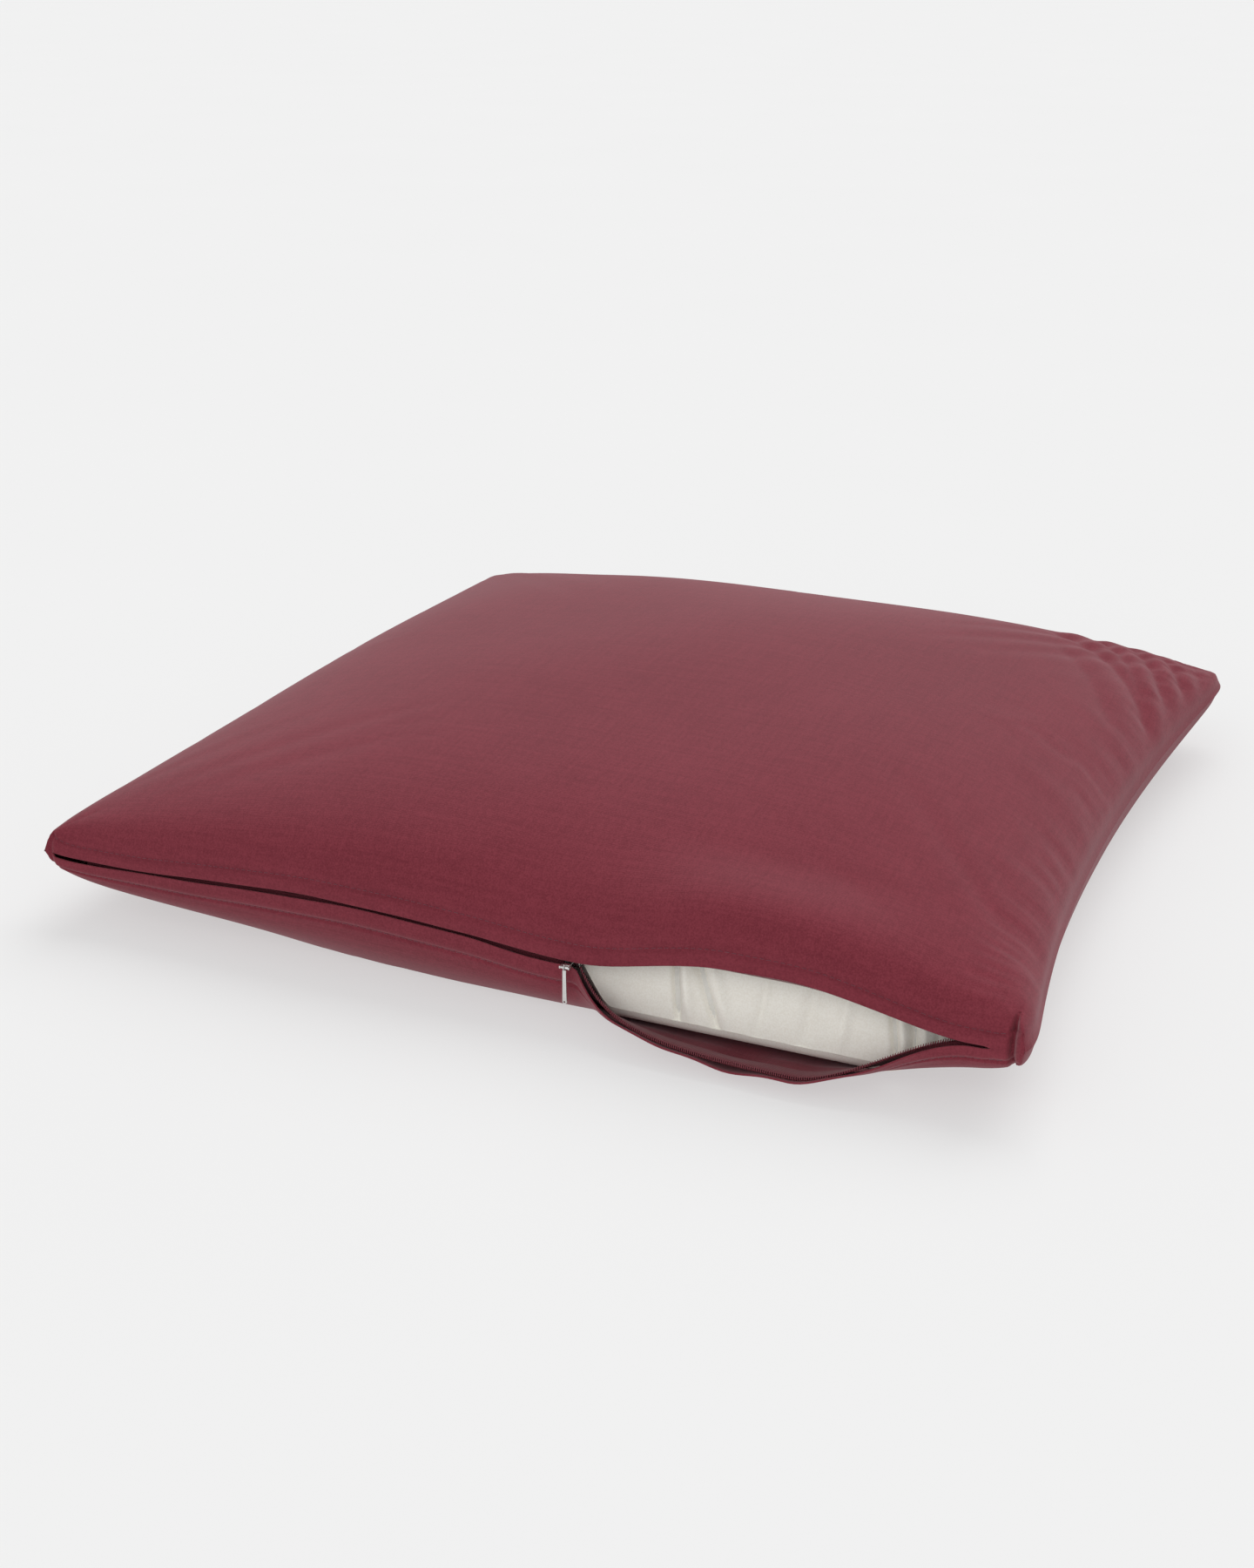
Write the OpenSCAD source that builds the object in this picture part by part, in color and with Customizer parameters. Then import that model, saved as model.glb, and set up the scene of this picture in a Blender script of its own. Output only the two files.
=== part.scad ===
// Square knife-edge floor cushion: a woven cover closed by a concealed zip along
// its front edge, the zip part open, over a cotton-cased inner cushion.
// Millimetres. Origin under the middle of the cushion on the floor, +Z up,
// the zip edge faces -Y and the zip closes towards +X.

/* [Overall size] */
// Side of the square cover, corner to corner of the seam
side = 700; // [600:10:900]
// Height of the filled cushion at its crown
height = 138; // [112:2:180]
// Height of the side seam and of the zip above the floor
seam_height = 46; // [38:1:58]
// How far the two plain sides are drawn in between their corners
side_draw = 20; // [8:1:28]
// How far the front and back are drawn in between their corners
front_draw = 15; // [8:1:20]

/* [Cover] */
// Thickness of the woven cover fabric
fabric = 1.2; // [0.9:0.1:1.6]
// Width of the slit between the two folded edges over the closed zip
slit = 2; // [1.8:0.1:3]
// Crown fullness, smaller values fill the sides out more
fullness = 0.36; // [0.3:0.02:0.5]

/* [Open mouth of the zip] */
// Left end of the open mouth, where the slider stands, from the middle
mouth_left = 53; // [30:1:80]
// Length of the open mouth
mouth_length = 263; // [180:1:270]
// How far the upper edge of the mouth arches up
upper_arch = 16; // [8:1:24]
// How far the lower edge has fallen forward
lower_reach = 24; // [14:1:32]

/* [Zip] */
// Distance from the folded edges in to the middle of the zip chain
chain_set_back = 7; // [6.8:0.1:8]
// Width of each zip tape
tape_width = 13; // [10:0.5:16]
// Thickness of each zip tape
tape = 0.6; // [0.4:0.1:0.7]
// Spacing of the coil teeth on each tape
coil_pitch = 2.6; // [2.6:0.1:3.4]
// Length of the hanging zip pull
pull_length = 25; // [18:1:30]
// Width of the zip pull at its foot
pull_width = 4; // [3:0.2:6]

/* [Inner cushion] */
// Clear space between the zip chain and the inner cushion
inner_ease = 3; // [2.5:0.5:9]
// Thickness of the inner cotton case
case = 0.8; // [0.6:0.1:1.2]

/* [Hidden] */
half = side / 2;
gap = 0.3;
crown = height - seam_height - gap / 2;
edge_y = -(half - front_draw);
chain_y = edge_y + chain_set_back;
mouth_right = mouth_left + mouth_length;
slider_half = 5.5;
mouth_start = mouth_left + slider_half + 1.5;
slider_tall = 4;
bar_y = edge_y - 5.8;
flat_share = 0.17;
inner_half = half - 0.67 * front_draw - chain_set_back - inner_ease;
plum = [0.42, 0.19, 0.24];
plum_dark = [0.30, 0.12, 0.16];
tape_tone = [0.24, 0.10, 0.14];
thread_tone = [0.36, 0.16, 0.21];
cream = [0.87, 0.85, 0.79];
cream_dark = [0.80, 0.78, 0.71];
metal = [0.75, 0.76, 0.78];

// Smooth step from 0 to 1
function ease(t) = let (c = min(1, max(0, t))) c * c * (3 - 2 * c);
// Share of the full opening at x, with its own rise and fall
function mouth_share(x, rise, fall) =
    ease((x - mouth_start) / (rise * mouth_length)) * ease((mouth_right - x) / (fall * mouth_length));
function upper_share(x) = mouth_share(x, 0.40, 0.42);
function lower_share(x) = mouth_share(x, 0.28, 0.46);
// Plan position of the pattern point (u, v) on a square whose sides are drawn in
function plan_x(u, v, a) = a * u - side_draw * sign(u) * pow(abs(u), 1.5) * (1 - pow(abs(v), 5));
function plan_y(u, v, a) = a * v - front_draw * sign(v) * pow(abs(v), 1.5) * (1 - pow(abs(u), 14));
function bulk(u, v) = max(0, (1 - u * u) * (1 - v * v));
// Domed profile with a finite slope at the seam
function dome(w) = (pow(w + 0.02, fullness) - pow(0.02, fullness))
    / (pow(1.02, fullness) - pow(0.02, fullness));
// Falling profile of the underside: 1 at the seam, 0 where it lies flat
function under(w) = 1 - min(1, pow(w / flat_share, 0.6));
function near_front(v) = ease((-v - 0.78) / 0.22);
// Half of the gap between the two panels: wide along the zip, tight elsewhere
function half_gap(v) = gap / 2 + (slit / 2 - gap / 2) * ease((-v - 0.9) / 0.1);

// Point of the upper cover surface, d below its outer face
function top_point(u, v, d) = let (
    a = half - d, x = plan_x(u, v, a), lift = upper_arch * upper_share(x) * near_front(v))
    [x, plan_y(u, v, a), seam_height + half_gap(v) + (crown - d) * dome(bulk(u, v)) + lift];

// Point of the lower cover surface, d above its outer face
function low_point(u, v, d) = let (
    a = half - d, x = plan_x(u, v, a), y = plan_y(u, v, a), s = under(bulk(u, v)),
    m = v < 0 ? lower_share(x) : 0,
    z = d + (seam_height - half_gap(v) - d) * s,
    v_flat = -sqrt(max(0, 1 - flat_share / max(0.171, 1 - u * u))),
    y_flat = plan_y(u, v_flat, a),
    y_open = min(y, y_flat - (y_flat - y + lower_reach) * s),
    z_open = d + 9 * s * s)
    [x, y * (1 - m) + y_open * m, z * (1 - m) + z_open * m];

// Points of the inner cushion's two faces, d inside its outer face
function inner_top(u, v, d) = let (a = inner_half - d)
    [plan_x(u, v, a), plan_y(u, v, a), seam_height + gap / 2 + (crown - 3 - d) * dome(bulk(u, v))];
function inner_low(u, v, d) = let (a = inner_half - d, s = under(bulk(u, v)), base = fabric + gap + side * 0.0008 + d)
    [plan_x(u, v, a), plan_y(u, v, a), base + (seam_height - gap / 2 - base) * s];

// Closed thin shell over the kept cells of a grid of two point layers
module shell(outer, inner, nu, nv, kept, up) {
    n = (nu + 1) * (nv + 1);
    id = function (i, j) i * (nv + 1) + j;
    on = function (i, j) i >= 0 && j >= 0 && i < nu && j < nv && kept[i][j];
    cells = [for (i = [0 : nu - 1]) for (j = [0 : nv - 1]) if (kept[i][j]) [i, j]];
    skin = [for (c = cells) let (p = id(c[0], c[1]), q = id(c[0] + 1, c[1]),
        r = id(c[0] + 1, c[1] + 1), s = id(c[0], c[1] + 1)) each [[p, r, q], [p, s, r]]];
    back = [for (f = skin) [f[2] + n, f[1] + n, f[0] + n]];
    rim = [for (c = cells) let (i = c[0], j = c[1], p = id(i, j), q = id(i + 1, j),
        r = id(i + 1, j + 1), s = id(i, j + 1)) each concat(
            on(i, j - 1) ? [] : [[p, q, q + n], [p, q + n, p + n]],
            on(i + 1, j) ? [] : [[q, r, r + n], [q, r + n, q + n]],
            on(i, j + 1) ? [] : [[r, s, s + n], [r, s + n, r + n]],
            on(i - 1, j) ? [] : [[s, p, p + n], [s, p + n, s + n]])];
    all = concat(skin, back, rim);
    polyhedron(concat(outer, inner), up ? all : [for (f = all) [f[2], f[1], f[0]]]);
}
function every(nu, nv) = [for (i = [0 : nu - 1]) [for (j = [0 : nv - 1]) true]];

// Grid of both cover panels, with lines at the two mouth ends and at the lip
u_left = mouth_left / half;
u_right = min(0.96, mouth_right / half);
cover_u = concat(
    [for (i = [0 : 13]) let (t = i / 13) -1 + (1 + u_left) * (0.4 * t + 0.6 * (1 - cos(90 * t)))],
    [for (i = [1 : 13]) u_left + (u_right - u_left) * i / 13],
    [for (i = [1 : 3]) u_right + (1 - u_right) * sin(30 * i)]);
lip_v = -sqrt(1 - flat_share * 0.9 / (1 - u_left * u_left));
cover_v = concat(
    [for (i = [0 : 5]) -1 + (lip_v + 1) * (1 - cos(18 * i))],
    [for (i = [1 : 22]) let (t = i / 22) lip_v + (1 - lip_v) * (0.25 * t + 0.375 * (1 - cos(180 * t)))]);
nu = len(cover_u) - 1;
nv = len(cover_v) - 1;
trim = gap / half;
lip_u = [for (i = [0 : 26]) u_left + trim + (u_right - u_left - 2 * trim) * i / 26];
closed_u = concat([for (i = [2 : 12]) cover_u[i]], [u_left - trim]);

module cover_top_panel() {
    color(plum)
        shell([for (u = cover_u) for (v = cover_v) top_point(u, v, 0)],
            [for (u = cover_u) for (v = cover_v) top_point(u, v, fabric)],
            nu, nv, every(nu, nv), true);
}

module cover_bottom_panel() {
    kept = [for (i = [0 : nu - 1]) [for (j = [0 : nv - 1]) !(i >= 13 && i < 26 && j < 5)]];
    color(plum_dark)
        shell([for (u = cover_u) for (v = cover_v) low_point(u, v, 0)],
            [for (u = cover_u) for (v = cover_v) low_point(u, v, fabric)],
            nu, nv, kept, false);
}

// The strip of the lower panel along the mouth, fallen open
module cover_lower_lip() {
    vs = [for (j = [0 : 5]) -1 + (lip_v + 1 - trim) * (1 - cos(18 * j))];
    color(plum_dark)
        shell([for (u = lip_u) for (v = vs) low_point(u, v, 0)],
            [for (u = lip_u) for (v = vs) low_point(u, v, fabric)], 26, 5, every(26, 5), false);
}

// Plan path along the left, back and right sides, e inside the seam
function three_sides(a, e) = let (n = 24,
    draw = function (t) side_draw * (1 - pow(abs(t), 5)),
    draw_back = function (t) front_draw * (1 - pow(abs(t), 14)),
    left = [for (i = [1 : n]) let (t = 2 * i / n - 1) [-(a - draw(t)) + e, min(a * t, a - e)]],
    back = [for (i = [1 : n - 1]) let (t = 2 * i / n - 1)
        if (abs(a * t) < a - e - 1) [a * t, a - draw_back(t) - e]])
    concat(left, back, [for (i = [n - 1 : -1 : 0]) [-left[i][0], left[i][1]]]);

// The joining seam of the cover on its three plain sides
module cover_side_seam_thread() {
    outer = three_sides(half, 3.4);
    inner = three_sides(half, 3.9);
    color(thread_tone)
        translate([0, 0, seam_height - 0.25])
            linear_extrude(0.5)
                polygon(concat(outer, [for (k = [len(inner) - 1 : -1 : 0]) inner[k]]));
}

// One line of stitches 0.4 mm proud of a panel, along the zip
module stitch_line(us, row, upper) {
    vs = [row - 0.0006, row + 0.0006];
    far = [for (u = us) for (v = vs) upper ? top_point(u, v, -0.5) : low_point(u, v, -0.5)];
    near = [for (u = us) for (v = vs) upper ? top_point(u, v, -0.12) : low_point(u, v, -0.12)];
    color(thread_tone)
        shell(far, near, len(us) - 1, 1, every(len(us) - 1, 1), upper);
}

module welt_stitching_upper() {
    stitch_line([for (i = [1 : nu - 1]) cover_u[i]], cover_v[2], true);
}

module welt_stitching_lower() {
    stitch_line(closed_u, cover_v[2], false);
}

module lip_stitching() {
    stitch_line(lip_u, cover_v[2], false);
}

// Cross rows of the upper tape: upright behind the fold, leaning back where the panel is low
function upper_tape_rows(u, d) = let (
    x = plan_x(u, -1, half), push = (d - 0.5) * tape, wide = tape_width - 2.4,
    base = seam_height + 2.4 + upper_arch * upper_share(x),
    set_in = chain_set_back - tape / 2 - fabric - 0.4,
    under_panel = function (back) top_point(u, -1 + (set_in + back) / half, 0)[2],
    room = max(0.8, min(wide, under_panel(0) - base)),
    back = wide - 0.9 * room,
    far_z = min(base + 0.9 * room + 0.35 * back, under_panel(back)))
    [[x, chain_y + push, base], [x, chain_y + push, base + 0.45 * room],
        [x, chain_y + push, base + 0.9 * room - 0.3 * push],
        [x, chain_y + back + push, far_z - push]];

// Cross rows of the lower tape: from the coil down the inside of its panel
function lower_tape_rows(u, d) = let (
    x = plan_x(u, -1, half), m = lower_share(x), push = (d - 0.5) * tape,
    lip_y = edge_y - lower_reach, lip_z = 9 + fabric,
    row = function (drop) [x,
        (chain_y + push) * (1 - m) + (lip_y + 1.4 + drop) * m,
        (seam_height - drop) * (1 - m) + (lip_z + 1.9 + push) * m],
    depth = fabric + 0.5 + tape * d,
    va = -1 + 0.26 * tape_width / half,
    vb = -1 + 0.415 * tape_width / half)
    [row(2.4), row(4.6), low_point(u, va, depth), low_point(u, vb, depth)];

function tape_rows(u, side_sign, d) = side_sign > 0 ? upper_tape_rows(u, d) : lower_tape_rows(u, d);

module zip_tape(us, side_sign) {
    color(tape_tone)
        shell([for (u = us) each tape_rows(u, side_sign, 0)],
            [for (u = us) each tape_rows(u, side_sign, 1)],
            len(us) - 1, 3, every(len(us) - 1, 3), side_sign > 0);
}

module zip_tape_upper_closed() {
    zip_tape(closed_u, 1);
}

module zip_tape_lower_closed() {
    zip_tape(closed_u, -1);
}

module zip_tape_upper_open() {
    zip_tape(lip_u, 1);
}

module zip_tape_lower_open() {
    zip_tape(lip_u, -1);
}

// Comb outline of one coil: a spine with teeth that reach tip past the middle line
function comb(x0, x1, shift, rise, tip) = let (
    first = ceil((x0 + 1 - shift) / coil_pitch), last = floor((x1 - 1 - shift) / coil_pitch),
    tooth = 0.47)
    concat([[x0, 2.1 + rise(x0)], [x0, 0.9 + rise(x0)]],
        [for (k = [first : last]) let (x = k * coil_pitch + shift, r = rise(x)) each
            [[x - tooth, 0.9 + r], [x - tooth, r - tip], [x + tooth, r - tip], [x + tooth, 0.9 + r]]],
        [[x1, 0.9 + rise(x1)], [x1, 2.1 + rise(x1)]],
        [for (k = [last : -1 : first]) let (x = k * coil_pitch + shift) [x, 2.1 + rise(x)]]);

// A coil laid in an upright plane through the chain, or in a leaning one
module coil(x0, x1, shift, rise, lean, tip = 0.6) {
    color(tape_tone)
        translate([0, chain_y, seam_height])
            rotate([lean, 0, 0])
                translate([0, 0, -1])
                    linear_extrude(2)
                        polygon(comb(x0, x1, shift, rise, tip));
}
zip_left = plan_x(cover_u[2], -1, half);
level = function (x) 0;
arch = function (x) upper_arch * upper_share(x);
fall_y = edge_y - lower_reach + 3.2 - chain_y;
fall_z = 9 + fabric + 1.4 - seam_height + 1.5;
fall = sqrt(fall_y * fall_y + fall_z * fall_z);
fall_lean = atan2(fall_z, fall_y);
drop = function (x) fall * lower_share(x);

module zip_coil_upper_closed() {
    coil(zip_left, mouth_left - slider_half - gap, 0, level, 90);
}

module zip_coil_lower_closed() {
    coil(zip_left, mouth_left - slider_half - gap, coil_pitch / 2, level, -90);
}

module zip_coil_upper_open() {
    coil(mouth_left + slider_half + gap, mouth_right, 0, arch, 90, 0);
}

module zip_coil_lower_open() {
    coil(mouth_left + slider_half + gap, mouth_right, coil_pitch / 2, drop, fall_lean, 0);
}

// Clamp over both coils where the zip begins
module zip_bottom_stop() {
    color(metal)
        translate([zip_left - gap - 3, chain_y - 1.5, seam_height - 3])
            cube([3, 3, 6]);
}

// One clamp on each coil where the zip ends
module zip_top_stops() {
    color(metal)
        for (s = [0.6, -3])
            translate([mouth_right + gap, chain_y - 1.5, seam_height + s])
                cube([3, 3, 2.4]);
}

// Slider: two plates round the chain, a wedge post, and a neck through the slit
module zip_slider_body() {
    color(metal)
        translate([mouth_left, chain_y, seam_height]) {
            for (s = [-1, 1]) {
                translate([-slider_half, s * 2 - 0.6, -slider_tall])
                    cube([2 * slider_half, 1.2, 2 * slider_tall]);
                for (r = [-1, 1])
                    translate([-slider_half, s * 1.1 - 0.4, r * (slider_tall - 0.4) - 0.4])
                        cube([2 * slider_half, 0.8, 0.8]);
            }
            translate([1.5, -1.6, -1])
                cube([3, 3.2, 2]);
            translate([-2.5, -chain_set_back - 3.4, -0.5])
                cube([5, chain_set_back + 1.4, 1]);
        }
}

// Bridge outside the slit that holds the pull: two posts and a bar
module zip_slider_bridge() {
    color(metal)
        translate([mouth_left, bar_y, seam_height]) {
            rotate([0, 90, 0])
                cylinder(h = 7, r = 0.8, center = true, $fn = 32);
            for (s = [-1, 1])
                translate([s * 3 - 0.5, -0.8, -0.9])
                    cube([1, 3.4, 1.8]);
        }
}

// Pull: an eye round the bridge bar and a tapering strap with a rounded foot
module zip_pull() {
    reach = pull_length - pull_width / 2;
    color(metal)
        translate([mouth_left, bar_y, seam_height]) {
            rotate([0, 90, 0])
                difference() {
                    cylinder(h = 3.6, r = 2, center = true, $fn = 40);
                    cylinder(h = 5, r = 1.15, center = true, $fn = 40);
                }
            translate([0, 0.6, 0])
                rotate([90, 0, 0])
                    linear_extrude(1.2)
                        difference() {
                            union() {
                                polygon([[-1.5, -1.6], [1.5, -1.6], [pull_width / 2, -reach],
                                    [-pull_width / 2, -reach]]);
                                translate([0, -reach])
                                    circle(d = pull_width, $fn = 40);
                            }
                            translate([0, -reach])
                                circle(d = pull_width * 0.45, $fn = 32);
                        }
        }
}

// Grid of the inner cushion, closer together towards its seam
inner_n = 20;
inner_grid = [for (i = [0 : inner_n]) let (t = 2 * i / inner_n - 1) 0.35 * t + 0.65 * sin(90 * t)];

module inner_case_top() {
    color(cream)
        shell([for (u = inner_grid) for (v = inner_grid) inner_top(u, v, 0)],
            [for (u = inner_grid) for (v = inner_grid) inner_top(u, v, case)],
            inner_n, inner_n, every(inner_n, inner_n), true);
}

module inner_case_bottom() {
    color(cream_dark)
        shell([for (u = inner_grid) for (v = inner_grid) inner_low(u, v, 0)],
            [for (u = inner_grid) for (v = inner_grid) inner_low(u, v, case)],
            inner_n, inner_n, every(inner_n, inner_n), false);
}

// Seam of the inner case on its three first-sewn sides
module inner_seam_thread() {
    outer = three_sides(inner_half, 2.4);
    inner = three_sides(inner_half, 2.8);
    color(cream_dark)
        translate([0, 0, seam_height - 0.2])
            linear_extrude(0.4)
                polygon(concat(outer, [for (k = [len(inner) - 1 : -1 : 0]) inner[k]]));
}

// Loose fibre filling as one soft mass
module inner_filling() {
    d = case + 3.2;
    tops = [for (u = inner_grid) for (v = inner_grid) inner_top(u, v, d) + [0, 0, 0.4]];
    lows = [for (u = inner_grid) for (v = inner_grid) inner_low(u, v, d) - [0, 0, 0.4]];
    color([0.93, 0.92, 0.89])
        shell(tops, lows, inner_n, inner_n, every(inner_n, inner_n), true);
}

cover_top_panel();
cover_bottom_panel();
cover_lower_lip();
cover_side_seam_thread();
welt_stitching_upper();
welt_stitching_lower();
lip_stitching();
zip_tape_upper_closed();
zip_tape_upper_open();
zip_tape_lower_closed();
zip_tape_lower_open();
zip_coil_upper_closed();
zip_coil_upper_open();
zip_coil_lower_closed();
zip_coil_lower_open();
zip_bottom_stop();
zip_top_stops();
zip_slider_body();
zip_slider_bridge();
zip_pull();
inner_case_top();
inner_case_bottom();
inner_seam_thread();
inner_filling();
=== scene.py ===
"""Looks of a square knife-edge floor cushion whose concealed zip stands part open.

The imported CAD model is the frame. Every soft piece is rebuilt on the same measures, the cover
is crumpled by a cloth simulation, and the zip gets its coils, tapes, slider and pull.
"""

import logging
import math
from dataclasses import dataclass, field
from enum import Enum
from typing import NamedTuple, Optional, Sequence, Union

import bmesh
import bpy
import numpy as np
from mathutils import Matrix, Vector

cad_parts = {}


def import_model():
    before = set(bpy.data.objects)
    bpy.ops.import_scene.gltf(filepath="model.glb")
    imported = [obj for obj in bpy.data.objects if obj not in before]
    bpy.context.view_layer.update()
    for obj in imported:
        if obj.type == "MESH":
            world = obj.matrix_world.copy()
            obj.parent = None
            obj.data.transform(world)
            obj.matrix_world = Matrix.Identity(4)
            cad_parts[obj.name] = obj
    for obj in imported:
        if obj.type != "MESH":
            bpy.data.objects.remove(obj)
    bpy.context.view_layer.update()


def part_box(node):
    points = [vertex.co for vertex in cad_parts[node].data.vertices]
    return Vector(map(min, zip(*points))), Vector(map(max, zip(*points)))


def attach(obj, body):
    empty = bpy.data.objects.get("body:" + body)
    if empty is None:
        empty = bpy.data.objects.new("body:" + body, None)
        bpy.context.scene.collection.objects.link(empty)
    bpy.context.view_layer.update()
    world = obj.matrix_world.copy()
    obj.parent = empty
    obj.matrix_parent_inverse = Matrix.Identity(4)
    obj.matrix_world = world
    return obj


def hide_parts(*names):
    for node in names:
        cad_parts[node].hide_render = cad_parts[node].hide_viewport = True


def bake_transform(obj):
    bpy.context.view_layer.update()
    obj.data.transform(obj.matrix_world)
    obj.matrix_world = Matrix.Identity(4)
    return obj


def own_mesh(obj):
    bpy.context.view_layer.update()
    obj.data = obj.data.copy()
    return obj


LOG = logging.getLogger("floor_cushion")
MM = 0.001
Grid = np.ndarray
Numbers = Union[float, np.ndarray]


# ---------------------------------------------------------------- measures and form


def ease(t: Numbers) -> Numbers:
    """Smooth step from 0 to 1."""
    c = np.clip(t, 0.0, 1.0)
    return c * c * (3.0 - 2.0 * c)


def bell(distance: Numbers, width: float) -> Numbers:
    """Bell curve, 1 at distance 0 and small beyond twice the width."""
    return np.exp(-((distance / width) ** 2))


@dataclass(frozen=True)
class Measures:
    """Driving places of the cushion in metres, read from the CAD frame.

    Args:
        half: half of the cover's side.
        height: height of the crown.
        seam_z: height of the seam and zip.
        chain_y: place of the zip chain.
        bar_y: place of the bridge bar that holds the pull.
        slider_x: middle of the slider, where the mouth starts.
        mouth_right: right end of the mouth.
        inner_half: half of the inner cushion's side.
        inner_low: underside of the inner cushion.
        pull_low: foot of the hanging pull.
    """

    half: float
    height: float
    seam_z: float
    chain_y: float
    bar_y: float
    slider_x: float
    mouth_right: float
    inner_half: float
    inner_low: float
    pull_low: float

    @classmethod
    def from_frame(cls) -> "Measures":
        """Reads the measures from the boxes of the CAD nodes.

        Returns:
            The measures.
        """
        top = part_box("cover_top_panel")
        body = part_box("zip_slider_body")
        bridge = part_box("zip_slider_bridge")
        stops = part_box("zip_top_stops")
        case_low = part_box("inner_case_bottom")
        case_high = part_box("inner_case_top")
        return cls(
            half=top[1].x,
            height=top[1].z,
            seam_z=(body[0].z + body[1].z) / 2,
            chain_y=body[1].y - 2.6 * MM,
            bar_y=bridge[0].y + 0.8 * MM,
            slider_x=(body[0].x + body[1].x) / 2,
            mouth_right=stops[0].x - 0.3 * MM,
            inner_half=case_high[1].x,
            inner_low=case_low[0].z,
            pull_low=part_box("zip_pull")[0].z,
        )

    @property
    def edge_y(self) -> float:
        """Front fold of the cover, 7 mm before the chain."""
        return self.chain_y - 7.0 * MM

    @property
    def mouth_start(self) -> float:
        """Place where the lips start to part, just past the slider."""
        return self.slider_x + 4.0 * MM


@dataclass
class CushionForm:
    """Outer shape of the filled cover as two surfaces over a square pattern.

    Pattern coordinates u and v run from -1 to 1, u along the zip and v from the zip to the back.

    Args:
        m: places read from the frame.
        draw_left: how far the left side is drawn in between its corners.
        draw_right: how far the right side is drawn in.
        draw_back: how far the back is drawn in.
        shoulder: height of the quick rise from the seam.
        shoulder_reach: width of that rise.
        fullness: shape of the crown, smaller values fill the sides out more.
        flat_share: how much of the underside hangs free of the floor.
        corner_lift: how far the corners stand above the seam.
        slit_half: half of the slit over the closed zip.
        upper_arch: rise of the upper lip.
        arch_start: length of its rise beside the slider.
        arch_end: length of its fall towards the right corner.
        lip_reach: how far forward the lower lip has fallen.
        lip_rise: height of the fallen lip's edge.
        drop_start: length of the lip's steep fall beside the slider.
        drop_end: length of its rise towards the right corner.
        tuck_deep: depth of the tucks at the front corners.
        rows: cells of the pattern along the zip.
    """

    m: Measures
    draw_left: float = 14 * MM
    draw_right: float = 31 * MM
    draw_back: float = 11 * MM
    shoulder: float = 20 * MM
    shoulder_reach: float = 6 * MM
    fullness: float = 0.366
    flat_share: float = 0.17
    corner_lift: float = 7 * MM
    slit_half: float = 1.9 * MM
    upper_arch: float = 16 * MM
    arch_start: float = 100 * MM
    arch_end: float = 115 * MM
    lip_reach: float = 24 * MM
    lip_rise: float = 9 * MM
    drop_start: float = 30 * MM
    drop_end: float = 105 * MM
    tuck_deep: float = 6 * MM
    rows: int = 200

    def spread(self, count: int) -> Grid:
        """Pattern positions from -1 to 1, closer together towards both ends."""
        t = np.linspace(-1.0, 1.0, count + 1)
        return 0.7 * np.sin(np.pi / 2 * t) + 0.3 * t

    def grid(self, count: int) -> tuple[Grid, Grid]:
        """Pattern coordinates of a square grid of points."""
        g = self.spread(count)
        return tuple(np.meshgrid(g, g, indexing="ij"))

    def plan(self, u: Grid, v: Grid, inset: float = 0.0) -> tuple[Grid, Grid]:
        """Plan position of pattern points.

        Args:
            u: pattern coordinate along the zip.
            v: pattern coordinate from the zip to the back.
            inset: how far inside the seam the square lies.

        Returns:
            The x and y of each point.
        """
        au, av = np.abs(u), np.abs(v)
        a = self.m.half - inset
        front_draw = self.m.half + self.m.edge_y
        draw_x = np.where(u > 0, self.draw_right, self.draw_left)
        power_x = np.where(u > 0, np.where(v > 0, 1.9, 2.3), 4.0)
        draw_y = np.where(v < 0, front_draw, self.draw_back)
        power_y = np.where(v < 0, 14.0, 4.0)
        x = a * u - draw_x * np.sign(u) * au**1.5 * (1 - av**power_x)
        y = a * v - draw_y * np.sign(v) * av**1.5 * (1 - au**power_y)
        blunt = np.maximum(au, av) / np.maximum((au**26 + av**26) ** (1 / 26), 1e-9)
        blunt = 1 + (blunt - 1) * ease((np.maximum(au, av) - 0.86) / 0.14)
        return x * blunt, y * blunt

    def dome(self, w: Grid) -> Grid:
        """Domed profile with a finite slope at the seam."""
        low = 0.02**self.fullness
        return ((w + 0.02) ** self.fullness - low) / (1.02**self.fullness - low)

    def edge_distance(self, u: Grid, v: Grid) -> Grid:
        """Distance of a pattern point from the nearest seam, rounded off near the corners.

        Args:
            u: pattern coordinate along the zip.
            v: pattern coordinate from the zip to the back.

        Returns:
            The distance in metres.
        """
        side = np.maximum(1 - np.abs(u), 1e-6) ** -3.0
        end = np.maximum(1 - np.abs(v), 1e-6) ** -3.0
        return (side + end) ** (-1 / 3) * self.m.half

    def seam_height(self, u: Grid, v: Grid) -> Grid:
        """Height of the seam, a little lifted at the corners and swaying left of the slider.

        Args:
            u: pattern coordinate along the zip.
            v: pattern coordinate from the zip to the back.

        Returns:
            The height in metres.
        """
        x = self.m.half * u
        power = np.where(v < 0, 14.0, 4.0)
        lift = self.corner_lift * np.abs(u) ** power * v * v
        sway = 8.0 * MM * bell(x + 0.12, 0.12) + 1.5 * MM
        sway = sway * ease((self.m.slider_x - 4 * MM - x) / 0.07) * ease((-v - 0.3) / 0.7)
        return self.m.seam_z + lift + sway

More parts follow.
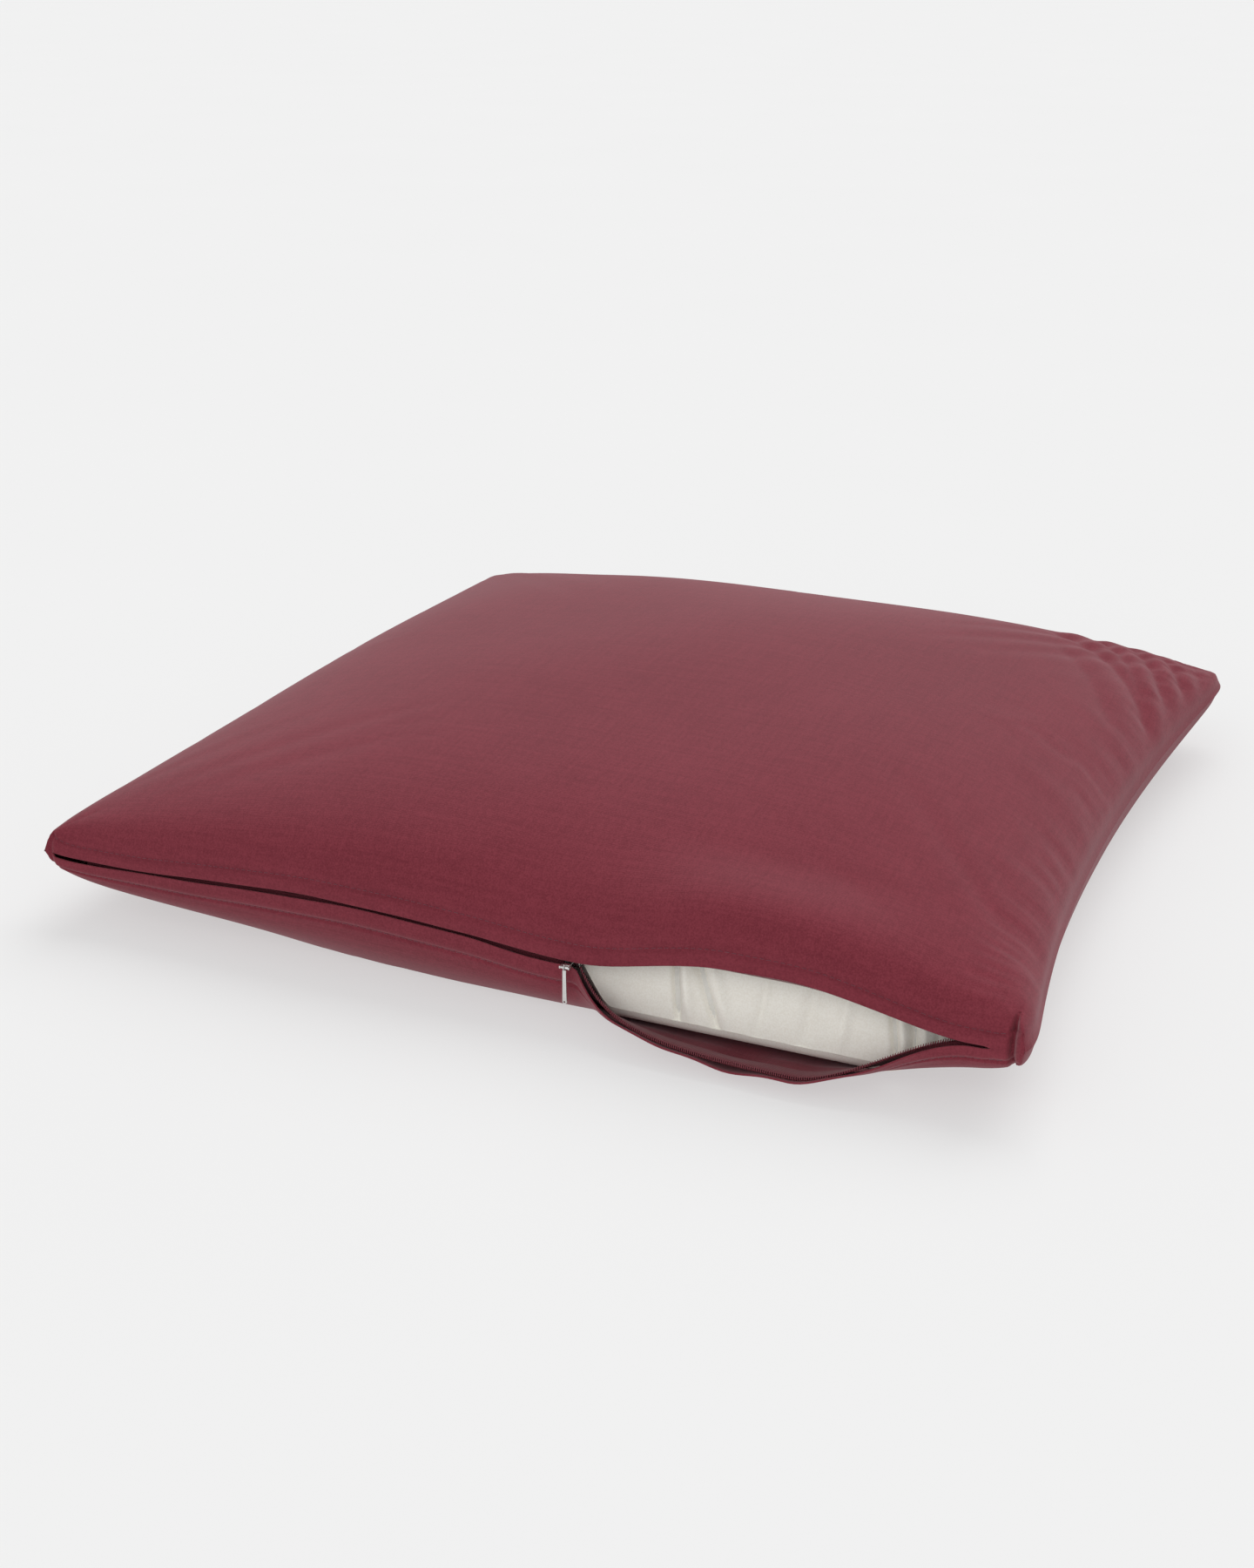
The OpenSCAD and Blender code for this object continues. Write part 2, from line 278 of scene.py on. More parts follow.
    def half_gap(self, u: Grid, v: Grid) -> Grid:
        """Half of the gap between the panels: the zip's slit in front, a closed seam elsewhere.

        Args:
            u: pattern coordinate along the zip.
            v: pattern coordinate from the zip to the back.

        Returns:
            Half of the gap in metres.
        """
        x = self.m.half * u
        zip_run = ease((x + 0.345) / 0.008) * ease((self.m.mouth_right + 0.008 - x) / 0.008)
        wander = 1 + 0.22 * np.sin(x * 31 + 0.5) + 0.12 * np.sin(x * 77)
        slit = (self.slit_half - 0.15 * MM) * zip_run * wander * ease((-v - 0.985) / 0.015)
        return 0.15 * MM + slit

    def arch_share(self, x: Grid) -> Grid:
        """Share of the upper lip's full arch at x."""
        end = self.m.mouth_right - 8 * MM
        return ease((x - self.m.mouth_start) / self.arch_start) * ease((end - x) / self.arch_end)

    def drop_share(self, x: Grid) -> Grid:
        """Share of the lower lip's full fall at x: steep beside the slider.

        Args:
            x: place along the zip.

        Returns:
            A share from 0 to 1.
        """
        start = np.maximum(x - self.m.mouth_start, 0.0)
        end = self.m.mouth_right - 6 * MM
        return (1 - np.exp(-start / self.drop_start)) * ease((end - x) / self.drop_end)

    def tuck(self, x: Grid, v: Grid) -> Grid:
        """Depth of the upright tucks at the two front corners, with a roll beside the right one.

        Args:
            x: place along the zip.
            v: pattern coordinate from the zip to the back.

        Returns:
            How far back the cloth is tucked.
        """
        front = ease((-v - 0.90) / 0.08)
        right = bell(x - 0.3325, 1.7 * MM) - 0.45 * bell(x - 0.3395, 4.5 * MM)
        left = 0.35 * bell(x + 0.337, 2.0 * MM)
        return self.tuck_deep * front * (right + left)

    def edge_rise(self, u: Grid, v: Grid) -> Grid:
        """Rise of the shoulder from the seam, quicker at the blunt corners.

        Args:
            u: pattern coordinate along the zip.
            v: pattern coordinate from the zip to the back.

        Returns:
            A share from 0 at the seam to 1.
        """
        corner = (np.abs(u) * np.abs(v)) ** 16
        reach = self.shoulder_reach * (1 - 0.72 * corner)
        return 1 - np.exp(-self.edge_distance(u, v) / reach)

    def upper_closed(self, u: Grid, v: Grid) -> Grid:
        """Points of the upper face as if the zip were closed.

        Args:
            u: pattern coordinate along the zip.
            v: pattern coordinate from the zip to the back.

        Returns:
            A grid of points.
        """
        x, y = self.plan(u, v)
        w = np.maximum((1 - u * u) * (1 - v * v), 0)
        shoulder = self.shoulder * (1 - 0.35 * ease((u - 0.75) / 0.25) * ease((v + 0.93) / 0.2))
        crown = self.m.height - self.m.seam_z - shoulder
        z = self.seam_height(u, v) + shoulder * self.edge_rise(u, v) + crown * self.dome(w)
        return np.stack([x, y, z], -1)

    def lower_closed(self, u: Grid, v: Grid) -> Grid:
        """Points of the lower face as if the zip were closed.

        Args:
            u: pattern coordinate along the zip.
            v: pattern coordinate from the zip to the back.

        Returns:
            A grid of points.
        """
        x, y = self.plan(u, v)
        w = np.maximum((1 - u * u) * (1 - v * v), 0)
        s = 1 - np.minimum(1, (w / self.flat_share) ** 0.6)
        fall = self.edge_rise(u, v)
        deep = 0.25 + 0.5 * ease((-v - 0.8) / 0.15) * (1 - 0.5 * bell(x + 0.11, 0.11))
        z = np.maximum((self.seam_height(u, v) - deep * self.shoulder * fall) * s, 0)
        return np.stack([x, y, z], -1)

    def open_upper(self, points: Grid, u: Grid, v: Grid) -> Grid:
        """Arches the upper lip of the mouth and lets in the tucks and the slit.

        Args:
            points: closed points of the upper face.
            u: their pattern coordinate along the zip.
            v: their pattern coordinate from the zip to the back.

        Returns:
            The same points with the mouth open.
        """
        out = points.copy()
        x = points[..., 0]
        near = ease((-v - 0.76) / 0.24)
        out[..., 2] += self.upper_arch * self.arch_share(x) * near + self.half_gap(u, v)
        out[..., 1] += self.tuck(x, v)
        return out

    def open_lower(self, points: Grid, u: Grid, v: Grid) -> Grid:
        """Lets the lower lip fall forward onto the floor.

        Args:
            points: closed points of the lower face.
            u: their pattern coordinate along the zip.
            v: their pattern coordinate from the zip to the back.

        Returns:
            The same points with the mouth open.
        """
        x, y, z = points[..., 0], points[..., 1], points[..., 2]
        z = np.maximum(z - self.half_gap(u, v), 0)
        w = np.maximum((1 - u * u) * (1 - v * v), 0)
        s = np.where(v < 0, 1 - np.minimum(1, (w / self.flat_share) ** 0.6), 0)
        share = np.where(v < 0, self.drop_share(x), 0)
        v_flat = -np.sqrt(np.maximum(0, 1 - self.flat_share / np.maximum(0.171, 1 - u * u)))
        y_flat = self.plan(u, v_flat)[1]
        y_open = np.minimum(y, y_flat - (y_flat - y + self.lip_reach) * s)
        z_open = self.lip_rise * s**2.2
        y_new = y * (1 - share) + y_open * share + self.tuck(x, v)
        z_new = z * (1 - share) + z_open * share
        return np.stack([x, y_new, z_new], -1)


# ---------------------------------------------------------------- mesh helpers


def surface_normals(points: Grid, flip: bool) -> Grid:
    """Unit normals of a grid surface.

    Args:
        points: grid of points.
        flip: whether the outer side is the lower one.

    Returns:
        One normal for each point.
    """
    normal = np.cross(np.gradient(points, axis=0), np.gradient(points, axis=1))
    normal /= np.maximum(np.linalg.norm(normal, axis=-1, keepdims=True), 1e-12)
    return -normal if flip else normal


def new_piece(name: str, verts: Sequence, faces: Sequence) -> bpy.types.Object:
    """Makes a mesh object at the origin and links it to the scene.

    Args:
        name: name of the piece.
        verts: points of the mesh.
        faces: vertex numbers of each face.

    Returns:
        The mesh object.
    """
    mesh = bpy.data.meshes.new(name)
    mesh.from_pydata([tuple(map(float, p)) for p in verts], [], [tuple(f) for f in faces])
    mesh.update()
    mesh.shade_smooth()
    piece = bpy.data.objects.new(name, mesh)
    bpy.context.scene.collection.objects.link(piece)
    return piece


@dataclass
class ClothSkin:
    """A cloth panel of real thickness over a grid, with rounded folds along its true edges."""

    outer: Grid
    inner: Grid
    flip: bool

    @classmethod
    def padded_from(cls, outer: Grid, thickness: Grid, flip: bool) -> "ClothSkin":
        """Makes the inner layer by going in along the normals."""
        inner = outer - surface_normals(outer, flip) * thickness[..., None]
        return cls(outer, inner, flip)

    def rim_arc(self, i: int, j: int) -> list[Grid]:
        """Three points round the fold at a boundary point of the grid.

        Args:
            i: row of the point in the grid.
            j: its column.

        Returns:
            The points, from the outer layer to the inner one.
        """
        count_u, count_v = self.outer.shape[:2]
        i_in = min(max(i, 1), count_u - 2)
        j_in = min(max(j, 1), count_v - 2)
        a, b = self.outer[i, j], self.inner[i, j]
        out = a - self.outer[i_in, j_in]
        out = out / max(np.linalg.norm(out), 1e-9)
        half = np.linalg.norm(b - a) / 2
        turns = [math.radians(t) for t in (45, 90, 135)]
        return [a + (b - a) * (1 - math.cos(t)) / 2 + out * half * math.sin(t) for t in turns]

    def piece(self, name: str, keep: Grid) -> bpy.types.Object:
        """Builds the kept cells as one closed mesh.

        Args:
            name: name of the piece.
            keep: for each cell of the grid, whether it belongs to the piece.

        Returns:
            The mesh object.
        """
        nu, nv = self.outer.shape[0], self.outer.shape[1]
        verts: list = []
        lookup: dict = {}

        def point(key: tuple, place: Grid) -> int:
            """Number of the vertex with this key, made when it is new."""
            if key not in lookup:
                lookup[key] = len(verts)
                verts.append(place)
            return lookup[key]

        faces: list = []
        normals: list = []
        n_out = surface_normals(self.outer, self.flip)
        zero = np.zeros(3)
        for i, j in zip(*np.nonzero(keep)):
            corners = [(i, j), (i + 1, j), (i + 1, j + 1), (i, j + 1)]
            order = corners[::-1] if self.flip else corners
            faces.append([point(("o", *c), self.outer[c]) for c in order])
            normals.extend(n_out[c] for c in order)
            faces.append([point(("i", *c), self.inner[c]) for c in order[::-1]])
            normals.extend(-n_out[c] for c in order[::-1])
            for k in range(4):
                a, b = corners[k], corners[(k + 1) % 4]
                other = [(i, j - 1), (i + 1, j), (i, j + 1), (i - 1, j)][k]
                inside = 0 <= other[0] < nu - 1 and 0 <= other[1] < nv - 1
                if inside and keep[other]:
                    continue
                rails = []
                for c in (a, b):
                    rail = [point(("o", *c), self.outer[c])]
                    if not inside:
                        arc = self.rim_arc(*c)
                        rail += [point(("r", *c, n), p) for n, p in enumerate(arc)]
                    rail.append(point(("i", *c), self.inner[c]))
                    rails.append(rail)
                for n in range(len(rails[0]) - 1):
                    quad = [rails[1][n], rails[0][n], rails[0][n + 1], rails[1][n + 1]]
                    faces.append(quad[::-1] if self.flip else quad)
                    normals.extend([zero] * 4)
        made = new_piece(name, verts, faces)
        made.data.normals_split_custom_set([tuple(n) for n in normals])
        return made


def tube(path: Grid, radius: float, sides: int = 6) -> tuple[list, list]:
    """Vertices and faces of a round tube along a path of points.

    Args:
        path: points of the path.
        radius: radius of the tube.
        sides: sides of the cross-section.

    Returns:
        The vertices and the faces.
    """
    tangent = np.gradient(path, axis=0)
    tangent /= np.linalg.norm(tangent, axis=1, keepdims=True)
    guide = np.array([0.0, 0.0, 1.0]) if abs(tangent[0][2]) < 0.9 else np.array([0.0, 1.0, 0.0])
    verts, faces = [], []
    for k, (p, t) in enumerate(zip(path, tangent)):
        side = np.cross(t, guide)
        side /= np.linalg.norm(side)
        guide = np.cross(side, t)
        for s in range(sides):
            turn = 2 * math.pi * s / sides
            verts.append(p + radius * (math.cos(turn) * side + math.sin(turn) * guide))
        if k:
            for s in range(sides):
                n = (s + 1) % sides
                a, b = (k - 1) * sides, k * sides
                faces.append([a + s, b + s, b + n, a + n][::-1])
    last = (len(path) - 1) * sides
    faces.append(list(range(sides)))
    faces.append([last + s for s in range(sides)][::-1])
    return verts, faces


def resample(path: Grid, step: float) -> Grid:
    """Points at even steps along a path.

    Args:
        path: points of the path.
        step: distance between two points.

    Returns:
        The new points.
    """
    length = np.concatenate([[0], np.cumsum(np.linalg.norm(np.diff(path, axis=0), axis=1))])
    at = np.arange(0, length[-1], step)
    return np.stack([np.interp(at, length, path[:, k]) for k in range(3)], -1)


def set_outward(piece: bpy.types.Object) -> None:
    """Recalculates the normals of a closed mesh so that they point outwards.

    Args:
        piece: a closed mesh.
    """
    work = bmesh.new()
    work.from_mesh(piece.data)
    bmesh.ops.recalc_face_normals(work, faces=work.faces)
    work.to_mesh(piece.data)
    work.free()
    piece.data.update()


# ---------------------------------------------------------------- shader helpers


@dataclass
class Socket:
    """A node output with arithmetic, so that shader maths reads as an expression."""

    tree: bpy.types.NodeTree
    out: object

    def _math(self, kind: str, other: Union["Socket", float]) -> "Socket":
        """Adds one Math node on this value and another.

        Args:
            kind: the node's operation.
            other: the second value.

        Returns:
            The result.
        """
        node = self.tree.nodes.new("ShaderNodeMath")
        node.operation = kind
        for place, value in zip(node.inputs, (self, other)):
            if isinstance(value, Socket):
                self.tree.links.new(value.out, place)
            else:
                place.default_value = float(value)
        return Socket(self.tree, node.outputs[0])

    def __add__(self, other: Union["Socket", float]) -> "Socket":
        """Sum."""
        return self._math("ADD", other)

    def __mul__(self, other: Union["Socket", float]) -> "Socket":
        """Product."""
        return self._math("MULTIPLY", other)

    __radd__ = __add__
    __rmul__ = __mul__


class Paint:
    """One material under construction."""

    def __init__(self, name: str) -> None:
        """Starts an empty node material with a Principled shader.

        Args:
            name: name of the material.
        """
        self.material = bpy.data.materials.new(name)
        self.material.use_nodes = True
        self.tree = self.material.node_tree
        self.tree.nodes.clear()
        self.shader = self.tree.nodes.new("ShaderNodeBsdfPrincipled")
        output = self.tree.nodes.new("ShaderNodeOutputMaterial")
        self.tree.links.new(self.shader.outputs["BSDF"], output.inputs["Surface"])
        self.place = self.node("ShaderNodeTexCoord", {}, {}, "Object")

    def node(self, kind: str, settings: dict, values: dict, out: Union[str, int] = 0) -> Socket:
        """Adds a node.

        Args:
            kind: the node's type.
            settings: its properties, set first.
            values: a value or a Socket for each named or numbered input.
            out: the output wanted.

        Returns:
            The wanted output.
        """
        made = self.tree.nodes.new(kind)
        for key, value in settings.items():
            setattr(made, key, value)
        for key, value in values.items():
            if isinstance(value, Socket):
                self.tree.links.new(value.out, made.inputs[key])
            else:
                made.inputs[key].default_value = value
        return Socket(self.tree, made.outputs[out])

    def stretched(self, scale: tuple[float, float, float]) -> Socket:
        """Object coordinates stretched by a scale on each axis."""
        return self.node("ShaderNodeMapping", {}, {"Vector": self.place, "Scale": scale})

    def noise(self, scale: tuple[float, float, float], detail: float = 2.0) -> Socket:
        """Noise from 0 to 1 at a scale on each axis.

        Args:
            scale: scale on each axis.
            detail: how many finer layers are added.

        Returns:
            The noise.
        """
        where = self.stretched(scale)
        values = {"Vector": where, "Scale": 1.0, "Detail": detail, "Roughness": 0.55}
        return self.node("ShaderNodeTexNoise", {}, values, 0)

    def threads(self, axis: str, count: float) -> Socket:
        """Even threads along one axis, from 0 to 1.

        Args:
            axis: axis across which the threads follow each other.
            count: threads in each metre, times 0.16.

        Returns:
            The pattern.
        """
        settings = {"wave_type": "BANDS", "bands_direction": axis, "wave_profile": "SIN"}
        values = {"Vector": self.place, "Scale": count, "Distortion": 0.0}
        return self.node("ShaderNodeTexWave", settings, values, "Fac")

    def blend(self, share: Union[Socket, float], a: tuple, b: tuple) -> Socket:
        """Mixes two colours."""
        settings = {"data_type": "RGBA"}
        return self.node("ShaderNodeMix", settings, {0: share, 6: (*a, 1), 7: (*b, 1)}, 2)

    def bump(self, height: Socket, depth: float, strength: float) -> Socket:
        """Bump of a given depth in metres."""
        values = {"Height": height, "Distance": depth, "Strength": strength}
        return self.node("ShaderNodeBump", {}, values, "Normal")

    def finish(self, links: dict, values: dict) -> bpy.types.Material:
        """Connects what varies and sets what is constant on the shader.

        Args:
            links: a Socket for each input that varies.
            values: a constant for each other input.

        Returns:
            The finished material.
        """
        for key, socket in links.items():
            self.tree.links.new(socket.out, self.shader.inputs[key])
        for key, value in values.items():
            self.shader.inputs[key].default_value = value
        return self.material


# ---------------------------------------------------------------- finishes


@dataclass(frozen=True)
class WovenCloth:
    """Matte plain-weave cloth with slubs along and across."""

    name: str
    light: tuple
    dark: tuple
    thread_count: float = 620.0
    slub: float = 0.5
    relief: float = 0.35 * MM
    sheen: float = 0.19
    sheen_tint: tuple = (1.0, 0.86, 0.88, 1.0)
    roughness: float = 0.88

    def material(self) -> bpy.types.Material:
        """Builds the cloth's node material.

        Returns:
            The material.
        """
        p = Paint(self.name)
        along = p.noise((20, 430, 200), 3.0)
        across = p.noise((430, 24, 200), 3.0)
        upright = p.noise((300, 300, 30), 2.0)
        cloudy = p.noise((7, 7, 7), 3.0)
        flecks = p.noise((900, 900, 900), 1.0)
        warp = p.threads("X", self.thread_count / 6.2832 * 2.2)
        weft = p.threads("Y", self.thread_count / 6.2832 * 2.2)
        slubs = along * 0.42 + across * 0.36 + upright * 0.22
        share = slubs * self.slub + cloudy * 0.12 + flecks * (0.88 - self.slub)
        steep = p.node(
            "ShaderNodeMapRange",
            {"interpolation_type": "SMOOTHSTEP"},
            {"Value": share, "From Min": 0.36, "From Max": 0.64},
            0,
        )
        colour = p.blend(steep, self.dark, self.light)
        height = slubs * 0.55 + (warp + weft) * 0.12 + flecks * 0.2
        normal = p.bump(height, self.relief, 0.55)
        rough = slubs * 0.12 + (self.roughness - 0.06)
        links = {"Base Color": colour, "Normal": normal, "Roughness": rough}
        values = {
            "Sheen Weight": self.sheen,
            "Sheen Roughness": 0.45,
            "Sheen Tint": self.sheen_tint,
            "Specular IOR Level": 0.10,
        }
        return p.finish(links, values)


@dataclass(frozen=True)
class TwistedThread:
    """Sewing thread with a fine twist."""

    name: str
    colour: tuple

    def material(self) -> bpy.types.Material:
        """Builds the thread's node material.

        Returns:
            The material.
        """
        p = Paint(self.name)
        twist = p.noise((900, 2600, 2600), 1.0)
        dark = tuple(0.72 * c for c in self.colour)
        colour = p.blend(twist, dark, self.colour)
        normal = p.bump(twist, 0.1 * MM, 0.6)
        rough = twist * 0.1 + 0.55
        links = {"Base Color": colour, "Normal": normal, "Roughness": rough}
        return p.finish(links, {"Sheen Weight": 0.2, "Specular IOR Level": 0.35})


@dataclass(frozen=True)
class ZipTape:
    """Tightly woven zip tape with a fine herringbone."""

    name: str
    colour: tuple

    def material(self) -> bpy.types.Material:
        """Builds the tape's node material.

        Returns:
            The material.
        """
        p = Paint(self.name)
        ribs = p.threads("X", 210.0)
        rows = p.noise((60, 1500, 1500), 1.0)
        dark = tuple(0.6 * c for c in self.colour)
        colour = p.blend(ribs * 0.6 + rows * 0.4, dark, self.colour)
        normal = p.bump(ribs, 0.15 * MM, 0.5)
        rough = rows * 0.1 + 0.75
        links = {"Base Color": colour, "Normal": normal, "Roughness": rough}
        return p.finish(links, {"Sheen Weight": 0.12, "Specular IOR Level": 0.25})


@dataclass(frozen=True)
class NylonCoil:
    """Satin nylon of the zip coils."""

    name: str
    colour: tuple

    def material(self) -> bpy.types.Material:
        """Builds the nylon's node material.

        Returns:
            The material.
        """
        p = Paint(self.name)
        wear = p.noise((400, 400, 400), 2.0)
        light = tuple(min(1.0, 1.7 * c + 0.01) for c in self.colour)
        colour = p.blend(wear, self.colour, light)
        rough = wear * 0.18 + 0.3
        normal = p.bump(wear, 0.03 * MM, 0.3)
        links = {"Base Color": colour, "Roughness": rough, "Normal": normal}
        return p.finish(links, {"Specular IOR Level": 0.5})


@dataclass(frozen=True)
class NickelPlate:
    """Nickel-plated zinc, lightly brushed, with dull smudges at random."""

    name: str
    colour: tuple = (0.74, 0.735, 0.72)

    def material(self) -> bpy.types.Material:
        """Builds the metal's node material.

        Returns:
            The material.
        """
        p = Paint(self.name)
        brushed = p.noise((2600, 2600, 140), 2.0)
        smudge = p.noise((240, 240, 240), 3.0)
        dull = tuple(0.78 * c for c in self.colour)
        colour = p.blend(smudge, dull, self.colour)
        rough = brushed * 0.12 + smudge * 0.1 + 0.16
        normal = p.bump(brushed, 0.02 * MM, 0.25)
        links = {"Base Color": colour, "Roughness": rough, "Normal": normal}
        return p.finish(links, {"Metallic": 1.0})


@dataclass(frozen=True)
class CarriedFibre:
    """Lofted white fibre of the filling."""

    name: str

    def material(self) -> bpy.types.Material:
        """Builds the fibre's node material.

        Returns:
            The material.
        """
        p = Paint(self.name)
        tufts = p.noise((60, 60, 60), 5.0)
        hairs = p.noise((700, 90, 700), 3.0)
        colour = p.blend(tufts, (0.62, 0.61, 0.57), (0.84, 0.83, 0.79))
        normal = p.bump(tufts * 0.7 + hairs * 0.3, 3 * MM, 0.7)
        rough = hairs * 0.1 + 0.88
        links = {"Base Color": colour, "Normal": normal, "Roughness": rough}
        return p.finish(links, {"Sheen Weight": 0.4})


class Finish(Enum):
    """The finishes of the cushion, by the record's slot names."""

    COVER = "cover_cloth"
    THREAD = "cover_thread"
    TAPE = "zip_tape"
    COIL = "zip_coil"
    METAL = "zip_metal"
    COTTON = "inner_cotton"
    FIBRE = "fibre_filling"


class Wardrobe:
    """All materials, made once, and the way a piece is dressed in one."""

    def __init__(self) -> None:
        """Builds every material."""
        plum, plum_dark = (0.214, 0.035, 0.051), (0.154, 0.022, 0.034)
        cotton, cotton_dark = (0.93, 0.91, 0.84), (0.87, 0.84, 0.76)
        white_tint = (1.0, 0.98, 0.94, 1.0)
        self.made = {
            Finish.COVER: WovenCloth("cover_cloth", plum, plum_dark).material(),
            Finish.THREAD: TwistedThread("cover_thread", (0.17, 0.035, 0.055)).material(),
            Finish.TAPE: ZipTape("zip_tape", (0.20, 0.034, 0.050)).material(),
            Finish.COIL: NylonCoil("zip_coil", (0.16, 0.027, 0.040)).material(),
            Finish.METAL: NickelPlate("zip_metal").material(),
            Finish.COTTON: WovenCloth(
                "inner_cotton", cotton, cotton_dark, 900.0, 0.3, 0.16 * MM, 0.12, white_tint
            ).material(),
            Finish.FIBRE: CarriedFibre("fibre_filling").material(),
        }

    def dress(self, piece: bpy.types.Object, finish: Finish) -> bpy.types.Object:
        """Gives a piece one finish and the record's slot of the same name.

        Args:
            piece: the piece.
            finish: the finish.

        Returns:
            The same piece.
        """
        piece.data.materials.clear()
        piece.data.materials.append(self.made[finish])
        return piece


# ---------------------------------------------------------------- the cloth's crumple


@dataclass
class Crumple:
    """Small folds of the cover, from a cloth simulation of the filled cushion.

    Args:
        form: outer shape of the cover.
        count: cells of the simulated cloth on each side.
        frames: how long the cloth moves.
        pressure: pressure of the filling.
        keep_low: share of the broad swelling that is kept.
        limit: furthest that a point may move.
    """

    form: CushionForm
    count: int = 120
    frames: int = 20
    pressure: float = 3.0
    keep_low: float = 0.1
    limit: float = 24 * MM

    def run(self) -> Grid:
        """Inflates a copy of the closed form whose cloth is cut a little large.

        Returns:
            How far each point of the upper face moved, with the broad swelling taken out.
        """
        n = self.count
        u, v = self.form.grid(n)
        upper = self.form.upper_closed(u, v)
        lower = self.form.lower_closed(u, v)
        ids = np.arange((n + 1) ** 2).reshape(n + 1, n + 1)
        inner = np.zeros_like(ids, dtype=bool)
        inner[1:-1, 1:-1] = True
        low_ids = ids.copy()
        low_ids[inner] = np.arange(inner.sum()) + (n + 1) ** 2
        verts = np.concatenate([upper.reshape(-1, 3), lower[inner]])
        quads = [self._cells(ids), self._cells(low_ids)[:, ::-1]]
        piece = new_piece("crumple_trial", verts, np.concatenate(quads).tolist())
        distance = self.form.edge_distance(u, v).reshape(-1)
        hold = np.ones(len(verts))
        hold[: (n + 1) ** 2] = np.clip(1 - distance / 0.010, 0, 1)
        loose = np.zeros(len(verts))
        loose[: (n + 1) ** 2] = self._looseness(u, v).reshape(-1)
        self._group(piece, "hold", hold)
        self._group(piece, "loose", loose)
        moved = self._simulate(piece) - verts
        bpy.data.objects.remove(piece, do_unlink=True)
        moved = moved[: (n + 1) ** 2].reshape(n + 1, n + 1, 3)
        size = np.linalg.norm(moved, axis=-1, keepdims=True)
        moved *= np.minimum(1, self.limit / np.maximum(size, 1e-9))
        broad = self._soften(moved, 9)
        return (moved - broad) + self.keep_low * broad

    @staticmethod
    def _cells(ids: Grid) -> Grid:
        """Quads of a grid of vertex numbers."""
        return np.stack([ids[:-1, :-1], ids[1:, :-1], ids[1:, 1:], ids[:-1, 1:]], -1).reshape(-1, 4)

    @staticmethod
    def _looseness(u: Grid, v: Grid) -> Grid:
        """Where the cover has spare cloth: most at the right edge and the far right corner.

        Args:
            u: pattern coordinate along the zip.
            v: pattern coordinate from the zip to the back.

        Returns:
            A share from 0 to 1.
        """
        corner = np.exp(-((1 - u) ** 2 + (1 - v) ** 2) / 0.35)
        right = ease((u - 0.55) / 0.4) * 0.75
        left_back = 0.35 * np.exp(-((1 + u) ** 2 + (1 - v) ** 2) / 0.3)
        return np.clip(corner + right + left_back + 0.12, 0, 1)

    @staticmethod
    def _group(piece: bpy.types.Object, name: str, weights: Grid) -> None:
        """Writes a vertex group from an array of weights.

        Args:
            piece: the piece that gets it.
            name: name of the group.
            weights: weight of each vertex.
        """
        group = piece.vertex_groups.new(name=name)
        for index, weight in enumerate(weights):
            if weight > 0:
                group.add([index], float(weight), "REPLACE")

    def _simulate(self, piece: bpy.types.Object) -> Grid:
        """Runs the cloth and returns the moved points.

        Args:
            piece: the closed form.

        Returns:
            The points after the last frame.
        """
        cloth = piece.modifiers.new("cloth", "CLOTH")
        s = cloth.settings
        s.quality = 5
        s.mass = 0.3
        s.tension_stiffness = s.compression_stiffness = 20
        s.shear_stiffness = 8
        s.bending_stiffness = 0.8
        s.air_damping = 2
        s.use_pressure = True
        s.uniform_pressure_force = self.pressure
        s.vertex_group_mass = "hold"
        s.pin_stiffness = 1
        s.vertex_group_shrink = "loose"
        s.shrink_min = -0.002
        s.shrink_max = -0.028
        s.effector_weights.gravity = 0
        cloth.collision_settings.use_collision = False
        cloth.point_cache.frame_start = 1
        cloth.point_cache.frame_end = self.frames
        for frame in range(1, self.frames + 1):
            bpy.context.scene.frame_set(frame)
        shown = piece.evaluated_get(bpy.context.evaluated_depsgraph_get())
        points = np.zeros(len(piece.data.vertices) * 3)
        shown.data.vertices.foreach_get("co", points)
        bpy.context.scene.frame_set(1)
        return points.reshape(-1, 3)

    @staticmethod
    def _soften(field_in: Grid, reach: int) -> Grid:
        """Averages a grid field over a square neighbourhood, three times.

        Args:
            field_in: the field.
            reach: how far the neighbourhood reaches.

        Returns:
            The softened field.
        """
        out = field_in.copy()
        for _ in range(3):
            for axis in (0, 1):
                padded = np.concatenate(
                    [np.take(out, [0] * reach, axis), out, np.take(out, [-1] * reach, axis)], axis
                )
                total = np.cumsum(padded, axis)
                zero = np.zeros_like(np.take(total, [0], axis))
                total = np.concatenate([zero, total], axis)
                size = out.shape[axis]
                high = np.take(total, range(2 * reach + 1, 2 * reach + 1 + size), axis)
                low = np.take(total, range(0, size), axis)
                out = (high - low) / (2 * reach + 1)
        return out

    def onto(self, moved: Grid, u: Grid, v: Grid) -> Grid:
        """Reads the simulated movement at other pattern points.

        Args:
            moved: the simulated movement on its own grid.
            u: pattern coordinate along the zip.
            v: pattern coordinate from the zip to the back.

        Returns:
            The movement at the new points.
        """
        g = self.form.spread(self.count)
        place_u = np.interp(u, g, np.arange(len(g)))
        place_v = np.interp(v, g, np.arange(len(g)))
        i = np.clip(place_u.astype(int), 0, len(g) - 2)
        j = np.clip(place_v.astype(int), 0, len(g) - 2)
        a = ease(place_u - i)[..., None]
        b = ease(place_v - j)[..., None]
        near = moved[i, j] * (1 - b) + moved[i, j + 1] * b
        far = moved[i + 1, j] * (1 - b) + moved[i + 1, j + 1] * b
        return near * (1 - a) + far * a


# ---------------------------------------------------------------- cover


